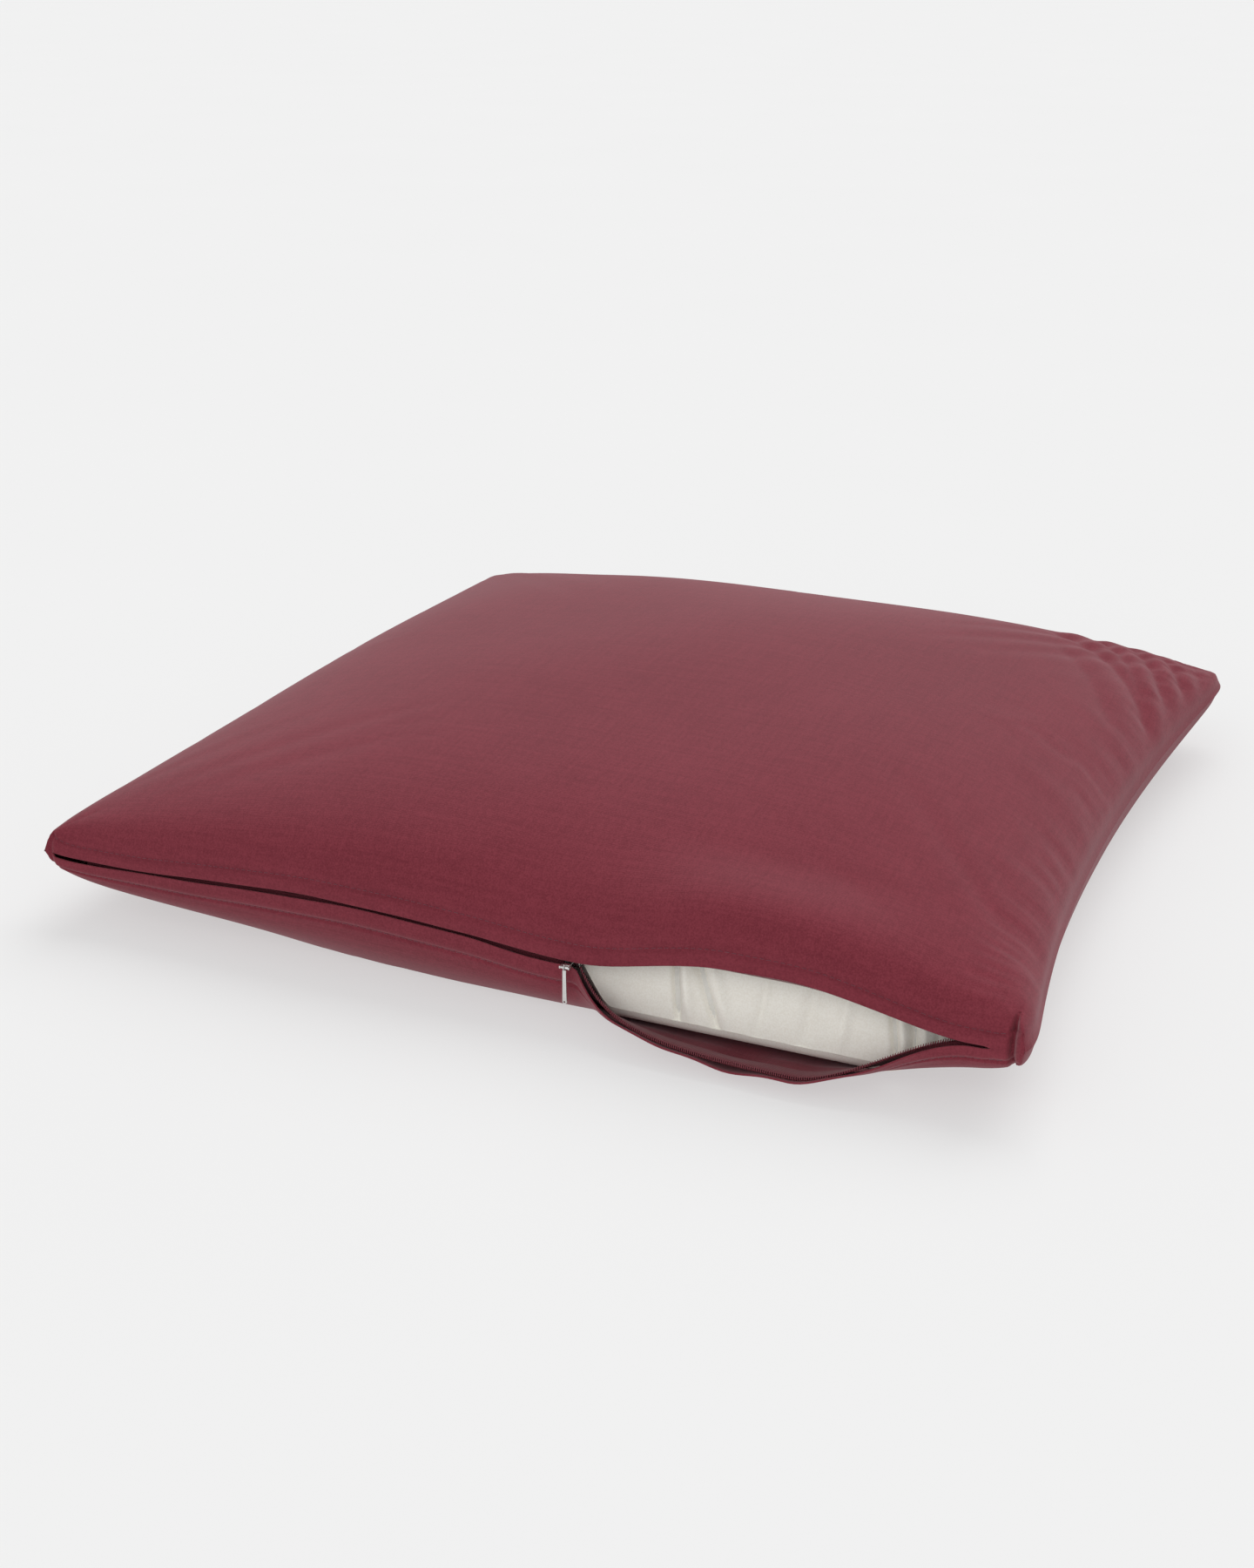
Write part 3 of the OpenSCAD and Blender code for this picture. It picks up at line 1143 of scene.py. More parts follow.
class CornerFold(NamedTuple):
    """Fold across the far right corner: a valley with a swelling on its outer side.

    Args:
        at: distance from the corner along the diagonal.
        width: width of the valley in millimetres.
        deep: depth of the valley in millimetres.
        slope: how far it leans from square to the diagonal.
        low: its end towards the right side, measured across the diagonal.
        top: its end towards the back.
    """

    at: float
    width: float
    deep: float
    slope: float
    low: float
    top: float


class SideRipple(NamedTuple):
    """Ripple that runs in from the right side.

    Args:
        at: its place along the side.
        width: its width in millimetres.
        high: its height in millimetres.
        reach: how far in it runs.
    """

    at: float
    width: float
    high: float
    reach: float


CORNER_FOLDS = (
    CornerFold(at=0.040, width=4.5, deep=3.0, slope=0.40, low=-0.040, top=0.045),
    CornerFold(at=0.067, width=5.0, deep=3.8, slope=0.30, low=-0.050, top=0.070),
    CornerFold(at=0.091, width=5.5, deep=4.6, slope=0.30, low=-0.075, top=0.090),
    CornerFold(at=0.118, width=5.5, deep=4.2, slope=0.24, low=-0.080, top=0.095),
    CornerFold(at=0.143, width=7.0, deep=4.4, slope=0.02, low=-0.070, top=0.140),
    CornerFold(at=0.176, width=9.0, deep=2.4, slope=0.10, low=-0.010, top=0.150),
)

SIDE_RIPPLES = (
    SideRipple(at=-0.285, width=8, high=0.8, reach=0.05),
    SideRipple(at=-0.245, width=9, high=-0.8, reach=0.05),
    SideRipple(at=-0.190, width=11, high=1.0, reach=0.07),
    SideRipple(at=-0.120, width=10, high=-0.9, reach=0.06),
    SideRipple(at=-0.060, width=13, high=1.1, reach=0.09),
    SideRipple(at=0.020, width=12, high=-1.0, reach=0.07),
    SideRipple(at=0.090, width=14, high=1.0, reach=0.08),
)


@dataclass
class Cover:
    """The sewn cover: top panel, bottom panel, fallen lip and their stitches.

    Args:
        form: outer shape of the cover.
        wardrobe: the finishes.
        thickness: thickness of the cloth.
        welt_row: distance of the stitch rows from the fold.
        stitch: length of one stitch.
        stitch_gap: space between two stitches.
        thread: radius of the thread.
        row_left: left end of the stitch rows.
        row_right: right end of the stitch rows.
        moved: the crumple at the pattern's points.
        lip_v: pattern coordinate of the lip's back edge.
    """

    form: CushionForm
    wardrobe: Wardrobe
    thickness: float = 1.2 * MM
    welt_row: float = 2.5 * MM
    stitch: float = 3.4 * MM
    stitch_gap: float = 1.1 * MM
    thread: float = 0.26 * MM
    row_left: float = -0.335
    row_right: float = 0.331
    moved: Optional[Grid] = None
    lip_v: float = -0.93
    top: ClothSkin = field(init=False)
    bottom: ClothSkin = field(init=False)
    u: Grid = field(init=False)
    v: Grid = field(init=False)

    def __post_init__(self) -> None:
        """Lays out the pattern lines and both skins."""
        self.u, self.v = self._lines()
        self.top = self._top_skin()
        self.bottom = self._bottom_skin()

    def _lines(self) -> tuple[Grid, Grid]:
        """Pattern lines with one at each end of the mouth and at the back of the lip.

        Returns:
            The u and v of each point of the grid.
        """
        m = self.form.m
        g = self.form.spread(self.form.rows)
        fine = 8 * MM * np.linspace(0, 1, 23)[:-1] ** 1.3 / m.half
        rest = self.form.spread(180)
        start = -1 + 8 * MM / m.half
        lines_v = np.concatenate([-1 + fine, start + (rest + 1) / 2 * (1 - start)])
        lines_u = g.copy()
        for x in (m.slider_x + 1 * MM, m.mouth_right):
            goal = self._u_at(x)
            lines_u[np.argmin(np.abs(lines_u - goal))] = goal
        lines_v[np.argmin(np.abs(lines_v - self.lip_v))] = self.lip_v
        return tuple(np.meshgrid(lines_u, lines_v, indexing="ij"))

    def _u_at(self, x: float) -> float:
        """Pattern coordinate along the front edge at a place x."""
        u = np.linspace(-1, 1, 4001)
        return float(np.interp(x, self.form.plan(u, -np.ones_like(u))[0], u))

    def _thickness(self) -> Grid:
        """Cloth thickness, thinner right at the sewn corners."""
        corner = np.minimum(1 - np.abs(self.u), 1 + np.abs(self.u))
        return np.full_like(self.u, self.thickness) * (0.6 + 0.4 * ease(corner / 0.02))

    def _corner_folds(self, x: Grid, y: Grid) -> Grid:
        """Height of the folds that cross the far right corner, dying out at the back edge.

        Args:
            x: place along the zip.
            y: place from the zip to the back.

        Returns:
            Height above the smooth form.
        """
        corner = self.form.m.half
        along = ((corner - x) + (corner - y)) * 0.7071
        across = ((corner - y) - (corner - x)) * 0.7071
        away = 0.15 + 0.85 * ease((corner - 0.022 - y) / 0.055)
        out = np.zeros_like(x)
        for fold in CORNER_FOLDS:
            width = fold.width * MM
            line = along - fold.at - fold.slope * across - across**2 / 0.7
            fade = ease((across - fold.low) / 0.030) * ease((fold.top - across) / 0.035)
            valley = np.exp(-np.sqrt((line / width) ** 2 + 0.12))
            swelling = 0.45 * bell(line + 2.1 * width, 1.5 * width)
            out += fold.deep * MM * (swelling - valley) * fade * away
        return out

    def _side_ripples(self, x: Grid, y: Grid) -> Grid:
        """Height of the ripples and fine puckers along the right side.

        Args:
            x: place along the zip.
            y: place from the zip to the back.

        Returns:
            Height above the smooth form.
        """
        into = self.form.m.half - self.form.draw_right - x
        out = np.zeros_like(x)
        for ripple in SIDE_RIPPLES:
            lean = ripple.at + 0.25 * into
            fade = ease((ripple.reach - into) / ripple.reach)
            side = bell(y - lean, ripple.width * MM) * fade
            out += ripple.high * MM * side * ease((self.u - 0.3) / 0.2)
        pucker = np.sin(y * 410 + 2 * np.sin(y * 37)) * np.sin(y * 173 + 1.3)
        return out + 0.5 * MM * pucker * bell(into - 0.010, 0.014) * ease((self.u - 0.6) / 0.2)

    def _creases(self, points: Grid) -> Grid:
        """Height of the fixed folds of the upper panel, none right at the seam.

        Args:
            points: points of the panel.

        Returns:
            Height above the smooth form.
        """
        x, y = points[..., 0], points[..., 1]
        near = ease(self.form.edge_distance(self.u, self.v) / 0.012)
        return (self._corner_folds(x, y) + self._side_ripples(x, y)) * near

    def _welt(self, v_side: Grid) -> Grid:
        """Dent of the stitch row and swelling of the turned hem beside the slit.

        Args:
            v_side: pattern coordinate from the zip to the back.

        Returns:
            Height above the smooth form.
        """
        e = (1 + v_side) * self.form.m.half
        hem = 0.7 * MM * bell(e - 1.1 * MM, 0.9 * MM)
        return hem - 1.3 * MM * bell(e - self.welt_row, 0.5 * MM)

    def _seam_roll(self) -> Grid:
        """Small roll of cloth along the three plain seams."""
        e = np.minimum(1 - np.abs(self.u), 1 - self.v) * self.form.m.half
        return 0.6 * MM * bell(e - 4.5 * MM, 2.4 * MM) - 0.8 * MM * bell(e - 1.5 * MM, 0.9 * MM)

    def _front_share(self) -> Grid:
        """1 along the zip edge and 0 along the plain seams."""
        return ease((-self.v - 0.9) / 0.05) * ease((1 - np.abs(self.u)) / 0.02)

    def _top_skin(self) -> ClothSkin:
        """Upper panel: closed form, folds of the cloth, then the mouth's arch.

        Returns:
            The panel.
        """
        u, v = self.u, self.v
        points = self.form.upper_closed(u, v)
        normal = surface_normals(points, False)
        if self.moved is not None:
            points = points + self.moved * self._calm(u, v)[..., None]
        front = self._front_share()
        push = self._creases(points) + self._welt(v) * front + self._seam_roll() * (1 - front)
        swell = 1.6 * MM * np.sin(points[..., 0] * 19 + 1.1) * np.sin(points[..., 1] * 15 + 0.4)
        push = push + swell * ease((1 - u * u) * (1 - v * v) / 0.5)
        points = points + normal * push[..., None]
        points = self.form.open_upper(points, u, v)
        return ClothSkin.padded_from(points, self._thickness(), False)

    @staticmethod
    def _calm(u: Grid, v: Grid) -> Grid:
        """Share of the simulated crumple kept: full at the far right, little elsewhere.

        Args:
            u: pattern coordinate along the zip.
            v: pattern coordinate from the zip to the back.

        Returns:
            A share from 0 to 1.
        """
        corner = np.exp(-((1 - u) ** 2 + (1 - v) ** 2) / 0.5)
        right = 0.6 * ease((u - 0.5) / 0.4)
        keep = 0.2 + 0.4 * np.clip(corner + right, 0, 1)
        return keep * (1 - 0.85 * ease((-v - 0.7) / 0.2))

    def _bottom_skin(self) -> ClothSkin:
        """Lower panel, flat where it rests, with its lip fallen forward.

        Returns:
            The panel.
        """
        u, v = self.u, self.v
        points = self.form.lower_closed(u, v)
        normal = surface_normals(points, True)
        front = self._front_share()
        push = self._welt(v) * front + self._seam_roll() * (1 - front)
        points = points + normal * push[..., None]
        points = self.form.open_lower(points, u, v)
        x = points[..., 0]
        share = self.form.drop_share(x) * ease((-v - 0.93) / 0.07)
        wave = np.sin(x * 62 + 0.6) + 0.5 * np.sin(x * 141)
        points[..., 2] += 1.6 * MM * wave * share
        points[..., 2] = np.maximum(points[..., 2], 0)
        return ClothSkin.padded_from(points, self._thickness(), True)

    def _lip_cells(self) -> Grid:
        """Cells of the lower panel that belong to the falling lip.

        Returns:
            For each cell, whether it belongs to the lip.
        """
        u_low = self._u_at(self.form.m.slider_x + 1 * MM)
        u_high = self._u_at(self.form.m.mouth_right)
        u_mid = (self.u[:-1, :-1] + self.u[1:, :-1]) / 2
        v_mid = (self.v[:-1, :-1] + self.v[:-1, 1:]) / 2
        return (u_mid > u_low) & (u_mid < u_high) & (v_mid < self.lip_v)

    def build(self) -> list[bpy.types.Object]:
        """Builds all of the cover's pieces and gives each, except the lip and its stitch row, the
        cushion's body.

        Returns:
            The pieces.
        """
        every = np.ones((self.u.shape[0] - 1, self.u.shape[1] - 1), dtype=bool)
        lip = self._lip_cells()
        top = self.top.piece("cover_top", every)
        bottom = self.bottom.piece("cover_bottom", every & ~lip)
        strip = self.bottom.piece("cover_lip", lip)
        for piece, node in (
            (top, "cover_top_panel"),
            (bottom, "cover_bottom_panel"),
            (strip, "cover_lower_lip"),
        ):
            self.wardrobe.dress(piece, Finish.COVER)
            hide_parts(node)
        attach(top, "cushion")
        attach(bottom, "cushion")
        LipBody(self.form.m).bend(strip)
        return [top, bottom, strip, *self._stitches()]

    def _row(self, skin: ClothSkin, x0: float, x1: float) -> Grid:
        """Path of a stitch row beside the front fold of a panel.

        Args:
            skin: the panel.
            x0: left end.
            x1: right end.

        Returns:
            Points of the path.
        """
        v_row = -1 + self.welt_row / self.form.m.half
        j = int(np.clip(np.searchsorted(self.v[0], v_row), 1, self.v.shape[1] - 1))
        share = (v_row - self.v[0, j - 1]) / (self.v[0, j] - self.v[0, j - 1])
        line = skin.outer[:, j - 1] * (1 - share) + skin.outer[:, j] * share
        normal = surface_normals(skin.outer, skin.flip)
        line = line + normal[:, j] * 0.1 * MM
        keep = (line[:, 0] > x0) & (line[:, 0] < x1)
        return line[keep]

    def _dashes(self, name: str, paths: Sequence[Grid]) -> bpy.types.Object:
        """Stitches along paths, each a short arc of thread that dips into the cloth.

        Args:
            name: name of the piece.
            paths: paths of the stitch rows.

        Returns:
            The stitches as one piece.
        """
        verts, faces = [], []
        for path in paths:
            fine = resample(path, 0.4 * MM)
            step = int((self.stitch + self.stitch_gap) / (0.4 * MM))
            size = int(self.stitch / (0.4 * MM))
            for k in range(0, len(fine) - size, step):
                ends = [0, 0.15, 0.5, 0.85, 1]
                part = fine[[k + int(round(t * (size - 1))) for t in ends]].copy()
                part[0, 2] -= 0.35 * MM
                part[-1, 2] -= 0.35 * MM
                new, quads = tube(part, self.thread, 5)
                faces.extend([[i + len(verts) for i in q] for q in quads])
                verts.extend(new)
        piece = new_piece(name, verts, faces)
        set_outward(piece)
        return self.wardrobe.dress(piece, Finish.THREAD)

    def _stitches(self) -> list[bpy.types.Object]:
        """Stitch rows beside the zip and the hidden seam of the plain sides.

        Returns:
            The pieces of thread.
        """
        m = self.form.m
        high = self._row(self.top, self.row_left, self.row_right)
        low = self._row(self.bottom, self.row_left, m.slider_x - 2 * MM)
        low_right = self._row(self.bottom, m.mouth_right + 3 * MM, self.row_right)
        lip = self._row(self.bottom, m.slider_x + 3 * MM, m.mouth_right)
        upper = self._dashes("welt_stitches_upper", [high])
        lower = self._dashes("welt_stitches_lower", [low, low_right])
        lip_row = self._dashes("lip_stitches", [lip])
        seam = self._side_seam()
        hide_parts("welt_stitching_upper")
        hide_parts("welt_stitching_lower")
        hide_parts("lip_stitching")
        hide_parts("cover_side_seam_thread")
        for piece in (upper, lower, seam):
            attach(piece, "cushion")
        LipBody(m).bend(lip_row)
        return [upper, lower, lip_row, seam]

    def _side_seam(self) -> bpy.types.Object:
        """Thread that joins the panels along the left, back and right sides.

        Returns:
            The thread.
        """
        t = np.linspace(-0.985, 0.985, 90)
        one = np.ones_like(t)
        paths = []
        for u, v in ((-one, t), (t, one), (one, -t)):
            x, y = self.form.plan(u, v, 3.2 * MM)
            z = self.form.seam_height(u, v)
            paths.append(np.stack([x, y, z], -1))
        whole = np.concatenate(paths)
        verts, faces = tube(resample(whole, 6 * MM), 0.3 * MM, 6)
        piece = new_piece("side_seam_thread", verts, faces)
        set_outward(piece)
        return self.wardrobe.dress(piece, Finish.THREAD)


@dataclass(frozen=True)
class LipBody:
    """Places of the falling lip for the soft pieces that cross from cushion to lip; it only bakes
    their transforms.
    """

    m: Measures
    start_before_fold: float = 1.5 * MM
    reach_out: float = 28.8 * MM
    reach_down: float = 14.0 * MM

    def bend(self, piece: bpy.types.Object) -> None:
        """Bakes a piece's transform into its mesh; the lip's end point is worked out but not used,
        and nothing is bent.

        Args:
            piece: a piece that crosses the lip.
        """
        y, z = self.m.edge_y - self.start_before_fold, self.m.seam_z
        end = (0.0, y - self.reach_out, z - self.reach_down)
        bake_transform(piece)


# ---------------------------------------------------------------- inner cushion


class CaseCrease(NamedTuple):
    """Upright crease of the case where it shows in the mouth.

    Args:
        at: its place along the zip.
        width: its width in millimetres.
        high: its height in millimetres, below 0 for a valley.
        lean: how far it leans to the right as it rises.
    """

    at: float
    width: float
    high: float
    lean: float


CASE_CREASES = (
    CaseCrease(at=0.120, width=2.0, high=-7.36, lean=-0.16),
    CaseCrease(at=0.128, width=4.0, high=3.84, lean=-0.20),
    CaseCrease(at=0.141, width=2.2, high=-6.4, lean=-0.42),
    CaseCrease(at=0.150, width=4.5, high=2.88, lean=-0.40),
    CaseCrease(at=0.176, width=3.0, high=-1.92, lean=0.10),
    CaseCrease(at=0.206, width=5.0, high=-2.4, lean=0.12),
    CaseCrease(at=0.228, width=4.0, high=1.92, lean=0.10),
    CaseCrease(at=0.259, width=1.8, high=-5.76, lean=-0.22),
    CaseCrease(at=0.265, width=2.4, high=3.52, lean=-0.20),
    CaseCrease(at=0.271, width=1.6, high=-5.44, lean=-0.16),
    CaseCrease(at=0.278, width=2.2, high=2.88, lean=-0.14),
    CaseCrease(at=0.285, width=1.6, high=-4.48, lean=-0.12),
)


@dataclass
class InnerCushion:
    """The cotton-cased cushion inside, showing through the mouth, and its filling.

    Args:
        form: outer shape of the cover.
        wardrobe: the finishes.
        cover_room: space between the case and the upper panel.
        floor_room: space between the case and the lower panel.
        edge: width of the rise from the case's seam.
        set_forward: how far the case bulges forward in the mouth.
        seam_fall: how far the case's seam hangs down in the mouth.
        slack: extra space along the closed sides.
        case_to_fibre: space between the outside of the case and the filling.
    """

    form: CushionForm
    wardrobe: Wardrobe
    cover_room: float = 4.5 * MM
    floor_room: float = 3.5 * MM
    edge: float = 9 * MM
    set_forward: float = 11.5 * MM
    seam_fall: float = 29 * MM
    slack: float = 14 * MM
    case_to_fibre: float = 3.5 * MM

    def _lines(self) -> tuple[Grid, Grid]:
        """Pattern lines, close together where the cushion shows in the mouth.

        Returns:
            The u and v of each point of the grid.
        """
        left = np.linspace(0, 1, 50)[:-1]
        u_left = -1 + 1.16 * (0.3 * left + 0.7 * (1 - np.cos(np.pi / 2 * left)))
        u_mouth = np.linspace(0.16, 0.92, 190)[:-1]
        u_right = 0.92 + 0.08 * np.sin(np.pi / 2 * np.linspace(0, 1, 12))
        v_front = -1 + 0.16 * (1 - np.cos(np.pi / 2 * np.linspace(0, 1, 44)[:-1]))
        back = np.linspace(0, 1, 56)
        v_back = -0.84 + 1.84 * (0.55 * back + 0.45 * np.sin(np.pi / 2 * back))
        u = np.concatenate([u_left, u_mouth, u_right])
        return tuple(np.meshgrid(u, np.concatenate([v_front, v_back]), indexing="ij"))

    def surface(self, upper: bool, inset: float) -> Grid:
        """One face of the inner cushion.

        Args:
            upper: the upper face, or the lower one.
            inset: how far inside the case's outer face it lies.

        Returns:
            A grid of points.
        """
        m = self.form.m
        u, v = self._lines()
        x, y = self.form.plan(u, v, m.half - m.inner_half + inset)
        share = ease((x - m.slider_x) / 0.026) * ease((m.mouth_right + 4 * MM - x) / 0.07)
        push = ease((x - m.slider_x + 0.018) / 0.030) * ease((m.mouth_right - x) / 0.06)
        front = ease((-v - 0.9) / 0.1)
        y = y - self.set_forward * push * front
        e = self.form.edge_distance(u, v)
        seam = self.form.seam_height(u, v) - self.seam_fall * share * front
        rise = 1 - np.exp(-e / self.edge)
        if upper:
            cover = self.form.upper_closed(u, v)[..., 2]
            cover = cover + self.form.upper_arch * self.form.arch_share(x) * front
            slack = self.slack * bell(e, 30 * MM) * (1 - share * front)
            drop = self.cover_room + inset + slack
            z = seam + (np.maximum(cover - drop, seam) - seam) * rise
            if inset == 0:
                crease = self._creases(x, z, e, share)
                y = y - crease
                z = z + 0.4 * crease
        else:
            base = m.inner_low + inset
            flat = self.form.lower_closed(u, v)[..., 2] + self.floor_room + inset
            low = np.maximum(base, flat * (1 - share * front) + base * share * front)
            z = low + (seam - low) * np.exp(-e / (5 * MM))
        return np.stack([x, y, z], -1)

    @staticmethod
    def _creases(x: Grid, z: Grid, e: Grid, share: Grid) -> Grid:
        """Creases of the case where it shows in the mouth, leaning with height.

        Args:
            x: place along the zip.
            z: height of each point.
            e: distance from the nearest seam.
            share: share of the open mouth at each point.

        Returns:
            Height above the smooth form.
        """
        out = np.zeros_like(x)
        for crease in CASE_CREASES:
            place = crease.at + crease.lean * (z - 0.035)
            out += crease.high * MM * bell(x - place, crease.width * MM)
        return out * share * (0.3 + 0.7 * ease(e / 0.003)) * ease((0.05 - e) / 0.04)

    def build(self) -> list[bpy.types.Object]:
        """Builds the case and the filling.

        Returns:
            The pieces.
        """
        case = self._closed("inner_cushion", 0.0)
        self.wardrobe.dress(case, Finish.COTTON)
        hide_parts("inner_case_top", "inner_case_bottom")
        filling = self._closed("inner_fibre", self.case_to_fibre)
        self.wardrobe.dress(filling, Finish.FIBRE)
        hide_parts("inner_filling")
        seam = self._seam()
        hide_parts("inner_seam_thread")
        for piece in (case, filling, seam):
            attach(piece, "cushion")
            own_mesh(piece)
        return [case, filling, seam]

    def _closed(self, name: str, inset: float) -> bpy.types.Object:
        """Closed form welded from the upper and lower faces.

        Args:
            name: name of the piece.
            inset: how far inside the case's outer face it lies.

        Returns:
            The mesh object.
        """
        upper = self.surface(True, inset)
        lower = self.surface(False, inset)
        count = upper.shape[0] * upper.shape[1]
        ids = np.arange(count).reshape(upper.shape[:2])
        inner = np.zeros_like(ids, dtype=bool)
        inner[1:-1, 1:-1] = True
        low_ids = ids.copy()
        low_ids[inner] = np.arange(inner.sum()) + count
        verts = np.concatenate([upper.reshape(-1, 3), lower[inner]])
        top = np.stack([ids[:-1, :-1], ids[1:, :-1], ids[1:, 1:], ids[:-1, 1:]], -1)
        low = np.stack(
            [low_ids[:-1, 1:], low_ids[1:, 1:], low_ids[1:, :-1], low_ids[:-1, :-1]], -1
        )
        faces = np.concatenate([top.reshape(-1, 4), low.reshape(-1, 4)])
        return new_piece(name, verts, faces.tolist())

    def _seam(self) -> bpy.types.Object:
        """Thread of the case's own seam, just inside its edge.

        Returns:
            The thread.
        """
        upper = self.surface(True, 0.0)
        rim = np.concatenate([upper[0, :], upper[1:, -1], upper[-1, -2::-1]])
        centre = np.array([0, 0, 0.046])
        path = resample(rim, 5 * MM)
        flat = (centre - path) * np.array([1, 1, 0])
        flat /= np.linalg.norm(flat, axis=1, keepdims=True)
        verts, faces = tube(path + flat * 1.6 * MM, 0.25 * MM, 6)
        piece = new_piece("inner_seam", verts, faces)
        set_outward(piece)
        return self.wardrobe.dress(piece, Finish.THREAD)


# ---------------------------------------------------------------- zip


@dataclass
class ConcealedZip:
    """Tapes, coils and stops of the concealed zip.

    Args:
        cover: the cover that the tapes are sewn to.
        wardrobe: the finishes.
        pitch: distance between two turns of a coil.
        coil_high: half of a coil's height.
        coil_deep: half of a coil's depth.
        thread_radius: radius of the coil's monofilament.
        tape_width: width of a tape.
        tape_thick: thickness of a tape.
    """

    cover: Cover
    wardrobe: Wardrobe
    pitch: float = 1.35 * MM
    coil_high: float = 1.0 * MM
    coil_deep: float = 1.1 * MM
    thread_radius: float = 0.3 * MM
    tape_width: float = 13 * MM
    tape_thick: float = 0.5 * MM

    @property
    def m(self) -> Measures:
        """Measures of the cushion."""
        return self.cover.form.m

    @property
    def left_end(self) -> float:
        """Left end of the coils, as far from the middle as the mouth's right end."""
        return -self.m.mouth_right

    def _chain(self, x: Grid, upper: bool) -> Grid:
        """Middle of one coil at each x: together when closed, on its own lip when open.

        Args:
            x: place along the zip.
            upper: the upper side, or the lower one.

        Returns:
            Points of the line.
        """
        form = self.cover.form
        share = form.arch_share(x) if upper else form.drop_share(x)
        side = 1.0 if upper else -1.0
        y = np.full_like(x, self.m.chain_y)
        z = np.full_like(x, self.m.seam_z) + side * 1.1 * MM
        z = z + form.seam_height(x / self.m.half, -np.ones_like(x)) - self.m.seam_z
        if upper:
            y = y - 4.2 * MM * share**2
            z = z + (form.upper_arch - 0.6 * MM) * share
        else:
            y = y + (self.m.edge_y + 3.4 * MM - form.lip_reach - y) * share
            z = z * (1 - share) + (form.lip_rise + 2.6 * MM) * share
        return np.stack([x, y, z], -1)

    def _coil(self, name: str, x0: float, x1: float, upper: bool) -> bpy.types.Object:
        """One coil as a wound monofilament.

        Args:
            name: name of the piece.
            x0: left end.
            x1: right end.
            upper: the upper side, or the lower one.

        Returns:
            The coil.
        """
        turns = int((x1 - x0) / self.pitch)
        per = 7
        t = np.arange(turns * per + 1) / per
        x = x0 + t * self.pitch
        centre = self._chain(x, upper)
        phase = 2 * math.pi * t + (0 if upper else math.pi)
        path = centre.copy()
        path[:, 1] += self.coil_deep * np.cos(phase)
        path[:, 2] += self.coil_high * np.sin(phase)
        verts, faces = tube(path, self.thread_radius, 5)
        piece = new_piece(name, verts, faces)
        set_outward(piece)
        return self.wardrobe.dress(piece, Finish.COIL)

    def _tape_rows(self, x: Grid, upper: bool) -> Grid:
        """Cross rows of a tape, from beside the coil to its free edge under the panel.

        Args:
            x: place along the zip.
            upper: the upper side, or the lower one.

        Returns:
            A grid of points.
        """
        form = self.cover.form
        chain = self._chain(x, upper)
        share = form.arch_share(x) if upper else form.drop_share(x)
        skin = self.cover.top if upper else self.cover.bottom
        side = 1.0 if upper else -1.0
        rows = []
        first = chain.copy()
        closed_step = np.array([0, 0, side * 1.1 * MM])
        open_step = np.array([0, 1.2 * MM, 0])
        if upper:
            first = first + closed_step
        else:
            first = first + closed_step * (1 - share)[:, None] + open_step * share[:, None]
        rows.append(first)
        second = first.copy()
        if upper:
            second[:, 2] += 2.6 * MM
            second[:, 1] += 0.3 * MM
        else:
            second[:, 2] -= 2.2 * MM * (1 - share)
            second[:, 1] += 2.6 * MM * share
        rows.append(second)
        for e in (9.5 * MM, 12.5 * MM, 15.5 * MM, 18 * MM):
            line = self._under(skin, e)
            rows.append(np.stack([np.interp(x, line[:, 0], line[:, k]) for k in range(3)], -1))
            rows[-1][:, 0] = x
        return self._cut(np.stack(rows, 1))

    def _cut(self, rows: Grid) -> Grid:
        """The same cross rows, cut to the tape's width.

        Args:
            rows: cross rows, from the coil to the free edge.

        Returns:
            A grid of points with seven in each row.
        """
        steps = np.linalg.norm(np.diff(rows, axis=1), axis=2)
        length = np.concatenate([np.zeros((len(rows), 1)), np.cumsum(steps, axis=1)], axis=1)
        at = np.linspace(0, self.tape_width, 7)
        cut = [[np.interp(at, way, row[:, k]) for k in range(3)] for way, row in zip(length, rows)]
        return np.transpose(np.array(cut), (0, 2, 1))

    def _under(self, skin: ClothSkin, e: float) -> Grid:
        """Line just inside a skin at a distance from its fold.

        Args:
            skin: the panel.
            e: distance from the fold.

        Returns:
            Points of the line.
        """
        v_row = -1 + e / self.m.half
        j = int(np.clip(np.searchsorted(self.cover.v[0], v_row), 1, self.cover.v.shape[1] - 1))
        share = (v_row - self.cover.v[0, j - 1]) / (self.cover.v[0, j] - self.cover.v[0, j - 1])
        away = skin.inner - skin.outer
        away = away / np.maximum(np.linalg.norm(away, axis=-1, keepdims=True), 1e-9)
        line = skin.inner + away * 0.5 * MM
        return line[:, j - 1] * (1 - share) + line[:, j] * share

    def _tape(self, name: str, x0: float, x1: float, upper: bool) -> bpy.types.Object:
        """One tape as a closed thin strip.

        Args:
            name: name of the piece.
            x0: left end.
            x1: right end.
            upper: the upper side, or the lower one.

        Returns:
            The tape.
        """
        x = np.linspace(x0, x1, max(8, int((x1 - x0) / (3 * MM))))
        grid = self._tape_rows(x, upper)
        skin = ClothSkin.padded_from(grid, np.full(grid.shape[:2], self.tape_thick), not upper)
        keep = np.ones((grid.shape[0] - 1, grid.shape[1] - 1), dtype=bool)
        piece = skin.piece(name, keep)
        return self.wardrobe.dress(piece, Finish.TAPE)

